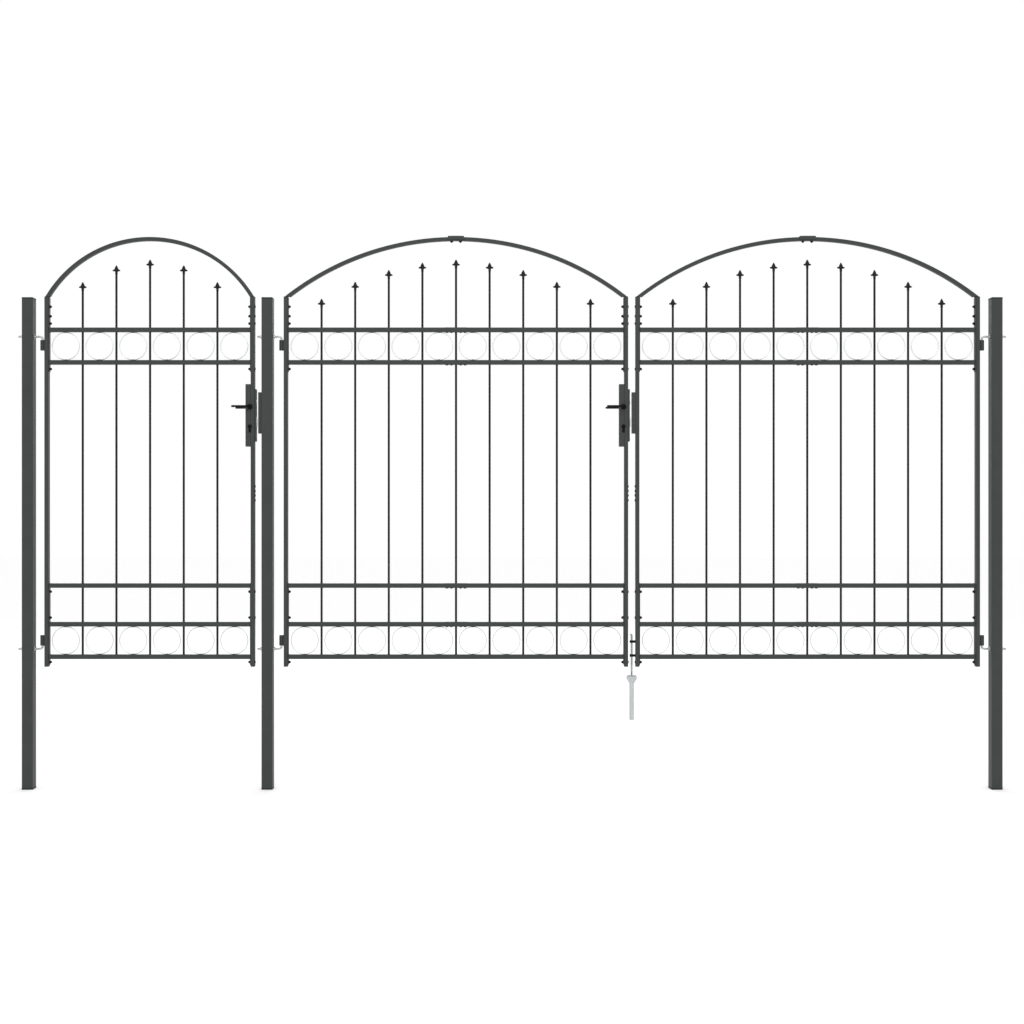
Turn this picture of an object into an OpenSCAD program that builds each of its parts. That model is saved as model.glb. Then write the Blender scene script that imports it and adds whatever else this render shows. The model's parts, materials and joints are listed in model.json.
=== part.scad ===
// Steel garden gate: a single leaf and a pair of leaves hung on three square posts.
// Origin at the middle of the centre post's foot, +X to the right along the gate, +Y away, +Z up.

/* [Posts] */
// Outer width of the square post tube
post_w = 45; // [40:1:80]
// Wall of the post tube
post_wall = 2; // [1.5:0.5:4]
// Outer corner radius of the post tube
post_r = 3; // [1:0.5:8]
// How far a post's top lies under the leaf's upper corner
post_drop = 4; // [0:1:60]
// Height of the leaves' lower ends over the posts' feet
leaf_bottom = 500; // [450:5:700]
// Thickness of a post cap's flange
cap_t = 4; // [3:0.5:8]
// Chamfer round the top cap's flange
cap_chamfer = 1.5; // [0.5:0.5:2.5]
// Depth of a cap's plug in the tube
cap_plug = 20; // [10:1:40]
// Wall of a cap's plug
cap_wall = 3; // [2:0.5:5]

/* [Bays] */
// Clear width between the left and middle posts
single_bay = 932.5; // [800:0.5:1200]
// Clear width between the middle and right posts
double_bay = 2932.5; // [2400:0.5:3600]
// Gap from a post to the leaf that hangs on it
hinge_gap = 44; // [38:1:60]
// Gap at the lock side of each opening
lock_gap = 30; // [28:1:45]

/* [Leaf frame] */
// Face width of the upright tubes
tube_w = 16; // [14:1:25]
// Depth of the upright tubes
tube_d = 25; // [22:1:40]
// Wall of the upright tubes
tube_wall = 1.5; // [1:0.25:3]
// Outer corner radius of the upright tubes
tube_r = 2; // [0.5:0.25:4]
// Length of an upright with its end plugs
upright_len = 1512; // [1400:1:1700]
// Thickness of an end plug's flange
plug_t = 2; // [1:0.5:4]
// Depth of an end plug in the tube
plug_in = 14; // [8:1:30]
// Rise of the arch over the uprights
arch_rise = 244; // [150:1:300]
// How far the arch's outer line starts inside the upright's outer face
arch_inset = 3; // [0:0.5:8]
// Radial thickness of the arch tube
arch_h = 15; // [12:1:22]
// Depth of the arch tube
arch_d = 20; // [14:1:22]
// Length of the sleeve over the joint of a wide arch
sleeve_len = 65; // [40:1:120]
// Plate thickness of that sleeve
sleeve_t = 4; // [2:0.5:6]
// How far the sleeve's cheeks reach down the arch tube
sleeve_cheek = 11; // [6:0.5:12]

/* [Infill] */
// Height of the rails
rail_h = 18; // [14:1:22]
// Depth of the rails
rail_d = 20; // [16:1:22]
// Corner radius of the rails
rail_r = 2; // [0.5:0.25:4]
// Lowest rail's centre over the leaf's lower end
low_rail = 40; // [30:1:80]
// Spacing of the two rails that hold a row of rings
ring_row = 133; // [100:1:160]
// Third rail's centre over the leaf's lower end
mid_rail = 331; // [260:1:600]
// Top rail's centre under the upright's top
top_rail = 135; // [110:1:180]
// Diameter of the upright bars
bar_d = 9; // [6:0.5:12]
// Least gap between a ring and the bars beside it, which sets how many bars a leaf has
ring_gap = 6.7; // [2:0.1:20]
// Thickness of the fixing strips along the uprights
strip_t = 3; // [2:0.5:5]
// Depth of the fixing strips
strip_d = 20; // [16:1:22]
// Reach of the upper strips under the lower of the two top rails
strip_tail = 41; // [30:1:80]
// Reach of the lower strips over the third rail
strip_head = 11; // [10:1:60]
// Lift of the lower strips over the leaf's lower end
strip_lift = 4; // [2:1:20]
// Length of the slant that ends each fixing strip
strip_slant = 4; // [1:0.5:8]
// Wire diameter of the rings
ring_wire = 4; // [3:0.5:6]
// Room between a ring and the rail that it is tacked to
ring_seat = 0.2; // [0.1:0.05:0.5]

/* [Finials] */
// Clear height from the arch's outer line to the middle finial's tip
tip_gap = 90; // [60:1:130]
// Growth of that clearance for each unit away from the leaf's middle
tip_spread = 0.031; // [0:0.001:0.08]
// Height of a finial from its foot to its tip
spear_h = 34; // [26:1:50]
// Height of a finial's widest part over its foot
spear_belly = 13; // [8:1:20]
// Radius of the blade at its widest
blade_r = 7.5; // [5:0.5:10]
// Radius of the blade's blunt tip
tip_r = 0.8; // [0.5:0.1:2]
// Reach of a finial's side leaves from its axis
lobe_reach = 16; // [10:0.5:20]
// Radius of a side leaf at its root
lobe_r = 4.5; // [3:0.5:6]
// Radius of a side leaf at its end
lobe_tip_r = 1.4; // [1:0.1:2.5]
// Upward slant of the side leaves
lobe_tilt = 8; // [0:1:25]

/* [Hinges] */
// Diameter of the hooked hinge bolts
bolt_d = 8; // [6:1:12]
// Centre line radius of a hook's bend
bend_r = 10; // [8:1:14]
// Distance of the hinge axis from the upright
axis_off = 10.5; // [10:0.5:14]
// Height of a hinge eye
eye_h = 42; // [30:1:60]
// Outer diameter of a hinge eye
eye_d = 17; // [15:0.5:20]
// Thickness of the web that ties the eye to the upright
web_t = 10; // [6:1:14]
// Radius of the web's flared feet
web_flare = 6; // [3:1:8]
// Upper eye's centre under the upright's top
upper_eye = 198; // [150:1:400]
// Lower eye's centre over the upright's foot
lower_eye = 107; // [60:1:300]
// Radial play of the pin in its eye
pin_play = 0.3; // [0.1:0.05:0.5]
// Distance from an eye's end to the bolt's straight leg
leg_rise = 14; // [13:0.5:20]
// How far a pin stops short of the eye's far end
pin_short = 4; // [2:1:10]
// Length of bolt beyond the post's far face
bolt_tail = 20; // [14:1:24]
// Width of a nut across its flats
nut_af = 13; // [10:0.5:19]
// Height of a nut
nut_h = 6.5; // [5:0.5:8]
// Diameter of a washer
washer_d = 18; // [16:1:30]
// Thickness of a washer
washer_t = 1.6; // [1:0.2:3]
// Clearance of the drilled holes round the bolts
hole_play = 0.2; // [0.1:0.05:0.5]

/* [Lock] */
// Width of the lock case beside the upright
case_w = 21; // [18:1:40]
// Height of the lock case
case_h = 255; // [230:1:300]
// Lock case's top under the upper strips' lower ends
case_drop = 48.5; // [20:0.5:200]
// Thickness of the lock's face strip
face_t = 7; // [2:0.5:8]
// Height of the lock's face strip
face_h = 214; // [180:1:250]
// Depth of the lock's face strip
face_d = 20; // [18:1:24]
// Lever axis and key cylinder, measured in from the face strip's front
backset = 26; // [22:0.5:35]
// Lever axis over the lock case's centre
lever_up = 35; // [20:1:60]
// Key cylinder's round end over the lock case's centre
key_up = -46; // [-70:1:-40]
// Latch tongue over the lock case's centre
latch_up = 55; // [50:1:60]
// Height of the latch tongue
latch_h = 18; // [12:1:24]
// Dead bolt over the lock case's centre
dead_up = -28; // [-40:1:-20]
// Height of the dead bolt
dead_h = 38; // [20:1:44]
// Thickness of the tongues
tongue_t = 10; // [6:0.5:12]
// How far the tongues stand out of the face strip
tongue_out = 3; // [2:0.5:6]
// Room round the tongues in the face strip
tongue_play = 0.3; // [0.2:0.1:0.6]

/* [Lever] */
// Length of a lever from its axis
lever_len = 70; // [60:1:110]
// Lever diameter beside the hub
lever_d = 12; // [8:0.5:14]
// Lever diameter at its end
lever_end_d = 10; // [7:0.5:12]
// Diameter of a lever's hub
hub_d = 22; // [18:1:24]
// Thickness of a lever's hub
hub_t = 8; // [5:0.5:12]
// Reach of a lever's neck from its hub
neck = 24; // [18:1:40]
// Diameter of the spindle
spindle_d = 8; // [6:0.5:10]
// Room between a hub and the lock case
hub_play = 0.3; // [0.2:0.1:1]

/* [Key cylinder] */
// Diameter of the key cylinder's round end
key_d = 17; // [15:0.5:18]
// Width of the key cylinder's lower part
key_w = 10; // [8:0.5:11]
// Height of the key cylinder
key_h = 33; // [28:1:36]
// How far the key cylinder stands out of the case
key_out = 2.5; // [1:0.5:5]

/* [Keepers] */
// Thickness of a keeper block
keeper_t = 15; // [12:0.5:16]
// Height of a keeper block
keeper_h = 168; // [150:1:200]
// Depth of a keeper block
keeper_d = 25; // [22:1:40]
// Keeper's centre over the lock case's centre
keeper_up = 10; // [0:1:20]
// Room round the tongues in a keeper's pockets
pocket_play = 3; // [2:0.5:5]
// Metal left behind a pocket
pocket_back = 3; // [2:0.5:5]

/* [Drop bolt] */
// Diameter of the drop bolt's rod
rod_d = 8; // [6:0.5:12]
// Rod's tip over the ground socket's mouth
rod_lift = 3; // [2:0.5:10]
// Length of the rod under its bend
rod_len = 156; // [145:1:200]
// Centre line radius of the rod's bend
rod_bend = 7; // [6:0.5:12]
// Length of the grip beyond the bend
rod_grip = 30; // [20:1:60]
// Thickness of a rod guide
guide_t = 6; // [4:0.5:10]
// Width of a rod guide
guide_w = 20; // [16:1:24]
// Wall of a guide's collar round the rod
guide_wall = 3; // [2:0.5:5]
// Height of the collars round the rod
guide_collar = 10; // [6:0.5:11]
// Lower guide's centre over the leaf's lower end
guide_low = 45; // [30:1:60]
// Spacing of the two guides
guide_step = 57; // [40:1:70]
// Radial play of the rod in its guides
rod_play = 0.3; // [0.1:0.05:0.5]

/* [Ground socket] */
// Socket's mouth under the leaf's lower end
socket_drop = 38; // [25:1:60]
// Length of the socket
socket_len = 180; // [120:1:250]
// Diameter of the socket's mouth
mouth_d = 43; // [36:1:60]
// Height of the straight rim round the mouth
rim_h = 12; // [6:1:20]
// Height of the cone under the rim
cone_h = 18; // [10:1:30]
// Outer diameter of the socket's tube
socket_d = 19; // [17:0.5:25]
// Wall of the socket
socket_wall = 2.5; // [2:0.25:4]

/* [Hidden] */
$fn = 48;
// Overlap that carries a cut past the face it opens
cut = 1;
// Least radius in a tube's inner corners
least_r = 0.3;

coat = "#474b4a";
plastic = "#2a2c2c";
zinc = "#b9bcbd";
black = "#1b1c1c";

// Places of the posts, then of the leaves: 0 single, 1 left of the pair, 2 right of the pair
left_x = -(single_bay + post_w);
right_x = double_bay + post_w;
post_half = post_w / 2;
single_w = single_bay - hinge_gap - lock_gap;
double_w = (double_bay - 2 * hinge_gap - lock_gap) / 2;
leaf_x = [left_x + post_half + hinge_gap, post_half + hinge_gap, right_x - post_half - hinge_gap];
leaf_w = [single_w, double_w, double_w];
leaf_top = leaf_bottom + upright_len;
post_len = leaf_top - post_drop - 2 * cap_t;

// The arch's outer circle over each leaf
arch_half = [for (w = leaf_w) w / 2 - arch_inset];
arch_r = [for (h = arch_half) (h * h + arch_rise * arch_rise) / (2 * arch_rise)];
arch_mid = [for (r = arch_r) leaf_top + arch_rise - r];

// Rails from the lowest to the top one, and the heights of the two rows of rings
rail_z = [leaf_bottom + low_rail, leaf_bottom + low_rail + ring_row, leaf_bottom + mid_rail,
    leaf_top - top_rail - ring_row, leaf_top - top_rail];
ring_z = [(rail_z[0] + rail_z[1]) / 2, (rail_z[3] + rail_z[4]) / 2];
ring_d = ring_row - rail_h - 2 * ring_seat;

// Least spacing of the bars, and the number of bars in each leaf
bar_pitch = ring_d + bar_d + 2 * ring_gap;
leaf_n = [for (w = leaf_w) floor((w - 2 * tube_w) / bar_pitch) - 1];

eye_z = [leaf_bottom + lower_eye, leaf_top - upper_eye];
leg_z = [eye_z[0] - eye_h / 2 - leg_rise, eye_z[1] + eye_h / 2 + leg_rise];
case_z = rail_z[3] - strip_tail - case_drop - case_h / 2;
keeper_z = case_z + keeper_up;
socket_z = leaf_bottom - socket_drop;
rod_z = socket_z + rod_lift;

// Spacing of the bars in a leaf, and the height of the finial over the bar at u
function pitch(i) = (leaf_w[i] - 2 * tube_w) / (leaf_n[i] + 1);
function bar_u(i, k) = tube_w + k * pitch(i);
function off_mid(i, u) = abs(u - leaf_w[i] / 2);
function arch_at(i, u) = arch_mid[i] + sqrt(pow(arch_r[i], 2) - pow(off_mid(i, u), 2));
function tip_at(i, u) = arch_at(i, u) - tip_gap - tip_spread * off_mid(i, u);

// A leaf's own frame: u runs from the hinge side's outer face to the lock side's
module on_leaf(i) {
    translate([leaf_x[i], 0, 0]) mirror([i == 2 ? 1 : 0, 0, 0]) children();
}

module box(u0, u1, depth, z0, z1) {
    translate([u0, -depth / 2, z0]) cube([u1 - u0, depth, z1 - z0]);
}

module along_x(u0, u1, d, z) {
    translate([u0, 0, z]) rotate([0, 90, 0]) cylinder(d = d, h = u1 - u0);
}

// Rectangle with rounded corners, as a tube's section has
module section(w, d, r) {
    square([w - 2 * r, d], center = true);
    square([w, d - 2 * r], center = true);
    for (x = [-1, 1], y = [-1, 1])
        translate([x * (w / 2 - r), y * (d / 2 - r)]) circle(r = r, $fn = 24);
}

// Section inside a wall, with a small radius left in its corners
module inner_section(w, d, r, wall) {
    section(w - 2 * wall, d - 2 * wall, max(r - wall, least_r));
}

module tube(w, d, r, wall, len) {
    linear_extrude(len) difference() {
        section(w, d, r);
        inner_section(w, d, r, wall);
    }
}

// Posts with the holes for their hinge bolts
module post_tube(x) {
    color(coat) translate([x, 0, cap_t]) difference() {
        tube(post_w, post_w, post_r, post_wall, post_len);
        for (z = leg_z)
            along_x(-post_half - cut, post_half + cut, bolt_d + 2 * hole_play, z - cap_t);
    }
}

module left_post() { post_tube(left_x); }
module middle_post() { post_tube(0); }
module right_post() { post_tube(right_x); }

module cap_socket() {
    fit = post_wall + hole_play;
    linear_extrude(cap_plug) difference() {
        inner_section(post_w, post_w, post_r, fit);
        inner_section(post_w, post_w, post_r, fit + cap_wall);
    }
}

module chamfered_bar() {
    translate([0, post_half, 0]) rotate([90, 0, 0]) linear_extrude(post_w) polygon([[-post_half, 0],
        [post_half, 0], [post_half, cap_t - cap_chamfer], [post_half - cap_chamfer, cap_t],
        [cap_chamfer - post_half, cap_t], [-post_half, cap_t - cap_chamfer]]);
}

module top_caps() {
    color(plastic) for (x = [left_x, 0, right_x]) translate([x, 0, cap_t + post_len]) {
        intersection() {
            chamfered_bar();
            rotate([0, 0, 90]) chamfered_bar();
            linear_extrude(cap_t) section(post_w, post_w, post_r);
        }
        translate([0, 0, -cap_plug]) cap_socket();
    }
}

module foot_caps() {
    color(plastic) for (x = [left_x, 0, right_x]) translate([x, 0, 0]) {
        linear_extrude(cap_t) section(post_w, post_w, post_r);
        translate([0, 0, cap_t]) cap_socket();
    }
}

// Hooked bolts through the posts: the upper ones turn down into their eyes, the lower ones up
module hook(z_leg) {
    bend_u = -axis_off - bend_r;
    along_x(-hinge_gap - post_w - bolt_tail, bend_u, bolt_d, z_leg);
    translate([bend_u, 0, z_leg - bend_r]) {
        rotate([90, 0, 0]) rotate_extrude(angle = 90) translate([bend_r, 0]) circle(d = bolt_d);
        pin = leg_rise - bend_r + eye_h - pin_short;
        translate([bend_r, 0, -pin]) cylinder(d = bolt_d, h = pin);
    }
}

module hinge_bolts() {
    color(zinc) for (i = [0 : 2]) on_leaf(i) {
        hook(leg_z[1]);
        translate([0, 0, leg_z[0]]) mirror([0, 0, 1]) hook(0);
    }
}

module drilled_disc(u, h, d, sides) {
    translate([u, 0, 0]) rotate([0, 90, 0]) difference() {
        cylinder(d = d, h = h, $fn = sides);
        translate([0, 0, -cut]) cylinder(d = bolt_d + 2 * hole_play, h = h + 2 * cut);
    }
}

// A washer and a nut on both sides of the post
module hinge_nuts() {
    nut_d = nut_af / cos(30);
    color(zinc) for (i = [0 : 2], z = leg_z) on_leaf(i) translate([0, 0, z]) {
        drilled_disc(-hinge_gap, washer_t, washer_d, $fn);
        drilled_disc(-hinge_gap + washer_t, nut_h, nut_d, 6);
        drilled_disc(-hinge_gap - post_w - washer_t, washer_t, washer_d, $fn);
        drilled_disc(-hinge_gap - post_w - washer_t - nut_h, nut_h, nut_d, 6);
    }
}

// Keeper block: u0 is the face it is fixed to, and it stands out towards side
module keeper(u0, side) {
    reach = keeper_t - pocket_back;
    color(coat) translate([u0, 0, 0]) mirror([side < 0 ? 1 : 0, 0, 0]) difference() {
        box(0, keeper_t, keeper_d, keeper_z - keeper_h / 2, keeper_z + keeper_h / 2);
        for (t = [[latch_up, latch_h], [dead_up, dead_h]])
            box(keeper_t - reach, keeper_t + cut, tongue_t + 2 * pocket_play,
                case_z + t[0] - t[1] / 2 - pocket_play, case_z + t[0] + t[1] / 2 + pocket_play);
    }
}

module post_keeper() { keeper(-post_half, -1); }
module right_keeper() { on_leaf(2) keeper(double_w, 1); }

// Socket sunk in the ground under the drop bolt
module ground_socket() {
    mouth_r = mouth_d / 2;
    tube_r = socket_d / 2;
    cone_z = -rim_h - cone_h;
    color(zinc) translate([leaf_x[2] - double_w - lock_gap / 2, 0, socket_z]) rotate_extrude()
        polygon([[mouth_r - socket_wall, 0], [mouth_r, 0], [mouth_r, -rim_h], [tube_r, cone_z],
            [tube_r, -socket_len], [0, -socket_len], [0, socket_wall - socket_len],
            [tube_r - socket_wall, socket_wall - socket_len], [tube_r - socket_wall, cone_z],
            [mouth_r - socket_wall, -rim_h]]);
}

// Rectangular tubes of the leaf frame
module upright_tube(u0) {
    translate([u0 + tube_w / 2, 0, leaf_bottom + plug_t])
        tube(tube_w, tube_d, tube_r, tube_wall, upright_len - 2 * plug_t);
}

// What passes through the lock: the spindle's bore and the key cylinder's opening
module lock_passages(i) {
    u = leaf_w[i] + face_t - backset;
    translate([u, tube_d, case_z + lever_up]) rotate([90, 0, 0])
        cylinder(d = spindle_d + 2 * pin_play, h = 2 * tube_d);
    translate([u, tube_d, case_z + key_up]) rotate([90, 0, 0]) linear_extrude(2 * tube_d)
        key_outline(hole_play);
}

module hinge_upright(i) {
    color(coat) on_leaf(i) upright_tube(0);
}

module lock_upright(i) {
    color(coat) on_leaf(i) difference() {
        upright_tube(leaf_w[i] - tube_w);
        if (i < 2) lock_passages(i);
    }
}

module upright_plugs(i) {
    color(plastic) on_leaf(i) for (u = [tube_w / 2, leaf_w[i] - tube_w / 2], top = [0, 1])
        translate([u, 0, top * leaf_top + (1 - top) * leaf_bottom]) mirror([0, 0, top]) {
            linear_extrude(plug_t) section(tube_w, tube_d, tube_r);
            linear_extrude(plug_t + plug_in) inner_section(tube_w, tube_d, tube_r, tube_wall + hole_play);
        }
}

// Curved bar about the arch's centre, from r0 to r1
module arch_ring(i, r0, r1, depth) {
    translate([leaf_w[i] / 2, depth / 2, arch_mid[i]]) rotate([90, 0, 0]) difference() {
        cylinder(r = r1, h = depth, $fn = 180);
        translate([0, 0, -cut]) cylinder(r = r0, h = depth + 2 * cut, $fn = 180);
    }
}

module arch(i) {
    color(coat) on_leaf(i) intersection() {
        arch_ring(i, arch_r[i] - arch_h, arch_r[i], arch_d);
        box(0, leaf_w[i], arch_d + 2 * cut, leaf_top, leaf_top + arch_rise + cut);
    }
}

// Saddle over the joint of the two arch halves, open below
module arch_sleeve(i) {
    mid = leaf_w[i] / 2;
    color(coat) on_leaf(i) intersection() {
        difference() {
            arch_ring(i, arch_r[i] - sleeve_cheek, arch_r[i] + sleeve_t, arch_d + 2 * sleeve_t);
            arch_ring(i, arch_r[i] - arch_h, arch_r[i], arch_d);
        }
        box(mid - sleeve_len / 2, mid + sleeve_len / 2, 2 * tube_d, leaf_top, leaf_top + 2 * arch_rise);
    }
}

// Flat strip that ties a panel to its upright, slanted at both ends: u is its back, and it is thick towards side
module fixing_strip(u, side, z0, z1) {
    translate([u, strip_d / 2, 0]) mirror([side < 0 ? 1 : 0, 0, 0]) rotate([90, 0, 0]) linear_extrude(strip_d)
        polygon([[0, z0], [strip_t, z0 + strip_slant], [strip_t, z1 - strip_slant], [0, z1]]);
}

// Rails, bars and fixing strips welded into one panel
module infill(i) {
    w = leaf_w[i];
    color(coat) on_leaf(i) {
        for (z = rail_z)
            translate([tube_w, 0, z]) rotate([0, 90, 0])
                linear_extrude(w - 2 * tube_w) section(rail_h, rail_d, rail_r);
        for (k = [1 : leaf_n[i]])
            translate([bar_u(i, k), 0, rail_z[0]])
                cylinder(d = bar_d, h = tip_at(i, bar_u(i, k)) - spear_h - rail_z[0], $fn = 8);
        for (end = [[tube_w, 1], [w - tube_w, -1]]) {
            fixing_strip(end[0], end[1], rail_z[3] - strip_tail, leaf_top);
            fixing_strip(end[0], end[1], leaf_bottom + strip_lift, rail_z[2] + strip_head);
        }
    }
}

module rings(i) {
    color(zinc) on_leaf(i) for (z = ring_z, k = [0 : leaf_n[i]])
        translate([bar_u(i, k + 0.5), 0, z]) rotate([90, 0, 0])
            rotate_extrude() translate([(ring_d - ring_wire) / 2, 0]) circle(d = ring_wire, $fn = 24);
}

// Spear-shaped finial: a blade with a leaf on either side
module spear() {
    cylinder(r1 = bar_d / 2, r2 = blade_r, h = spear_belly);
    translate([0, 0, spear_belly]) cylinder(r1 = blade_r, r2 = tip_r, h = spear_h - spear_belly);
    for (side = [-1, 1])
        translate([0, 0, spear_belly]) rotate([0, side * (90 - lobe_tilt), 0])
            cylinder(r1 = lobe_r, r2 = lobe_tip_r, h = lobe_reach);
}

module spear_tips(i) {
    color(coat) on_leaf(i) for (k = [1 : leaf_n[i]])
        translate([bar_u(i, k), 0, tip_at(i, bar_u(i, k)) - spear_h]) spear();
}

// Hinge eye with a web whose feet flare along the upright
module web_outline() {
    translate([-axis_off, -eye_h / 2]) square([axis_off, eye_h]);
    for (side = [-1, 1]) difference() {
        translate([-web_flare, side * (eye_h + web_flare) / 2 - web_flare / 2]) square(web_flare);
        translate([-web_flare, side * (eye_h / 2 + web_flare)]) circle(r = web_flare);
    }
}

module hinge_eyes(i) {
    color(coat) on_leaf(i) for (z = eye_z) translate([0, 0, z]) difference() {
        union() {
            translate([-axis_off, 0, -eye_h / 2]) cylinder(d = eye_d, h = eye_h);
            translate([0, web_t / 2, 0]) rotate([90, 0, 0]) linear_extrude(web_t) web_outline();
        }
        translate([-axis_off, 0, -eye_h / 2 - cut])
            cylinder(d = bolt_d + 2 * pin_play, h = eye_h + 2 * cut);
    }
}

// Key cylinder's outline: a round end with a narrower part hanging from it
module key_outline(grow) {
    low_r = key_w / 2 + grow;
    circle(d = key_d + 2 * grow);
    translate([0, (key_d + key_w) / 2 - key_h]) circle(r = low_r);
    translate([-low_r, (key_d + key_w) / 2 - key_h]) square([2 * low_r, key_h - (key_d + key_w) / 2]);
}

module lock_case(i) {
    u = leaf_w[i] - tube_w;
    color(coat) on_leaf(i) difference() {
        box(u - case_w, u, tube_d, case_z - case_h / 2, case_z + case_h / 2);
        lock_passages(i);
    }
}

// Face strip with its two tongues drawn most of the way in
module lock_face(i) {
    u = leaf_w[i];
    on_leaf(i) {
        color(coat) difference() {
            box(u, u + face_t, face_d, case_z - face_h / 2, case_z + face_h / 2);
            for (t = [[latch_up, latch_h], [dead_up, dead_h]])
                box(u - cut, u + face_t + cut, tongue_t + 2 * tongue_play,
                    case_z + t[0] - t[1] / 2 - tongue_play, case_z + t[0] + t[1] / 2 + tongue_play);
        }
        color(zinc) for (t = [[latch_up, latch_h], [dead_up, dead_h]])
            box(u, u + face_t + tongue_out, tongue_t, case_z + t[0] - t[1] / 2, case_z + t[0] + t[1] / 2);
    }
}

module key_cylinder(i) {
    reach = tube_d / 2 + key_out;
    color(black) on_leaf(i) translate([leaf_w[i] + face_t - backset, reach, case_z + key_up])
        rotate([90, 0, 0]) linear_extrude(2 * reach) key_outline(0);
}

// Two levers on one spindle
module lever() {
    hub_y = tube_d / 2 + hub_play;
    arm_y = hub_y + hub_t + neck;
    translate([0, -hub_y, 0]) rotate([90, 0, 0]) {
        cylinder(d = hub_d, h = hub_t);
        cylinder(d = lever_d, h = hub_t + neck);
    }
    translate([0, -arm_y, 0]) {
        sphere(d = lever_d);
        rotate([0, -90, 0]) cylinder(d1 = lever_d, d2 = lever_end_d, h = lever_len - lever_end_d / 2);
        translate([lever_end_d / 2 - lever_len, 0, 0]) sphere(d = lever_end_d);
    }
}

module handle(i) {
    spindle = 2 * (tube_d / 2 + hub_play + hub_t);
    color(black) on_leaf(i) translate([leaf_w[i] + face_t - backset, 0, case_z + lever_up]) {
        translate([0, spindle / 2, 0]) rotate([90, 0, 0]) cylinder(d = spindle_d, h = spindle);
        lever();
        mirror([0, 1, 0]) lever();
    }
}

// Guides on the meeting upright that carry the drop bolt
module rod_guides() {
    color(black) on_leaf(2) for (k = [0, 1])
        translate([double_w, 0, leaf_bottom + guide_low + k * guide_step - guide_t / 2]) difference() {
            union() {
                box(0, lock_gap / 2, guide_w, 0, guide_t);
                translate([lock_gap / 2, 0, (guide_t - guide_collar) / 2])
                    cylinder(d = rod_d + 2 * guide_wall, h = guide_collar);
            }
            translate([lock_gap / 2, 0, -guide_collar / 2])
                cylinder(d = rod_d + 2 * rod_play, h = 2 * guide_collar);
        }
}

// Rod with its upper end bent away to make a grip
module drop_bolt() {
    color(zinc) on_leaf(2) translate([double_w + lock_gap / 2, 0, rod_z]) {
        cylinder(d = rod_d, h = rod_len);
        translate([0, rod_bend, rod_len]) {
            rotate([90, 0, -90]) rotate_extrude(angle = 90) translate([rod_bend, 0]) circle(d = rod_d);
            translate([0, 0, rod_bend]) rotate([-90, 0, 0]) cylinder(d = rod_d, h = rod_grip);
        }
    }
}

left_post();
middle_post();
right_post();
top_caps();
foot_caps();
hinge_bolts();
hinge_nuts();
post_keeper();
ground_socket();
hinge_upright(0);  // single_hinge_upright
lock_upright(0);  // single_lock_upright
upright_plugs(0);  // single_upright_plugs
arch(0);  // single_arch
infill(0);  // single_infill
rings(0);  // single_rings
spear_tips(0);  // single_spear_tips
hinge_eyes(0);  // single_hinge_eyes
lock_case(0);  // single_lock_case
lock_face(0);  // single_lock_face
key_cylinder(0);  // single_key_cylinder
handle(0);  // single_handle
hinge_upright(1);  // left_hinge_upright
lock_upright(1);  // left_lock_upright
upright_plugs(1);  // left_upright_plugs
arch(1);  // left_arch
arch_sleeve(1);  // left_arch_sleeve
infill(1);  // left_infill
rings(1);  // left_rings
spear_tips(1);  // left_spear_tips
hinge_eyes(1);  // left_hinge_eyes
lock_case(1);  // left_lock_case
lock_face(1);  // left_lock_face
key_cylinder(1);  // left_key_cylinder
handle(1);  // left_handle
hinge_upright(2);  // right_hinge_upright
lock_upright(2);  // right_meeting_upright
upright_plugs(2);  // right_upright_plugs
arch(2);  // right_arch
arch_sleeve(2);  // right_arch_sleeve
infill(2);  // right_infill
rings(2);  // right_rings
spear_tips(2);  // right_spear_tips
hinge_eyes(2);  // right_hinge_eyes
right_keeper();
rod_guides();
drop_bolt();
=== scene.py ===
import json
import math

import bmesh
import bpy
from mathutils import Matrix, Vector


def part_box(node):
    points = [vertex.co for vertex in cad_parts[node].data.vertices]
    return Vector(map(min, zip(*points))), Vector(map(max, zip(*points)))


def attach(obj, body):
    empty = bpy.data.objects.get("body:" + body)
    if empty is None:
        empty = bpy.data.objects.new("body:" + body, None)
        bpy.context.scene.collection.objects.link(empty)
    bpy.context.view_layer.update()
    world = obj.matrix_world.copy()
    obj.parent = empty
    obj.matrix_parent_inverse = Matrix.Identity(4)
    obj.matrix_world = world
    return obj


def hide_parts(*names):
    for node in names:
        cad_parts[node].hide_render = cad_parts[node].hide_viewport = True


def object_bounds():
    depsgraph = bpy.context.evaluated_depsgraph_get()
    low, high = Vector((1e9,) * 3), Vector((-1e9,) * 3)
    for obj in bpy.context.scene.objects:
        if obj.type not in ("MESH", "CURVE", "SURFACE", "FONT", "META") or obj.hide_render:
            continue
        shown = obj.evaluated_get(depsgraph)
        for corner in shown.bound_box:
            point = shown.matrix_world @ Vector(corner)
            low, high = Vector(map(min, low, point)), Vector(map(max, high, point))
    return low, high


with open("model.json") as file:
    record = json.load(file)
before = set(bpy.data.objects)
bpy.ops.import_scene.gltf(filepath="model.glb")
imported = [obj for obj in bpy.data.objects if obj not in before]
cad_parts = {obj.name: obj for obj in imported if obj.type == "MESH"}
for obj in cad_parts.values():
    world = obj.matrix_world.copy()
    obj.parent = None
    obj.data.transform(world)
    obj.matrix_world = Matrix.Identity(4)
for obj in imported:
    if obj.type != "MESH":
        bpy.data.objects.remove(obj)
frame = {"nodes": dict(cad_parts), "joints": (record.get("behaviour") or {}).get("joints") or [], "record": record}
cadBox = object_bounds()
scene = bpy.context.scene
mm = 0.001

# Straight on and level with the middle of the gate, as the photograph is taken
cameraSetup = {"place": (0.9992, -5.82, 1.132), "lens": 50.0, "sensor": 36.0}


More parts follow.
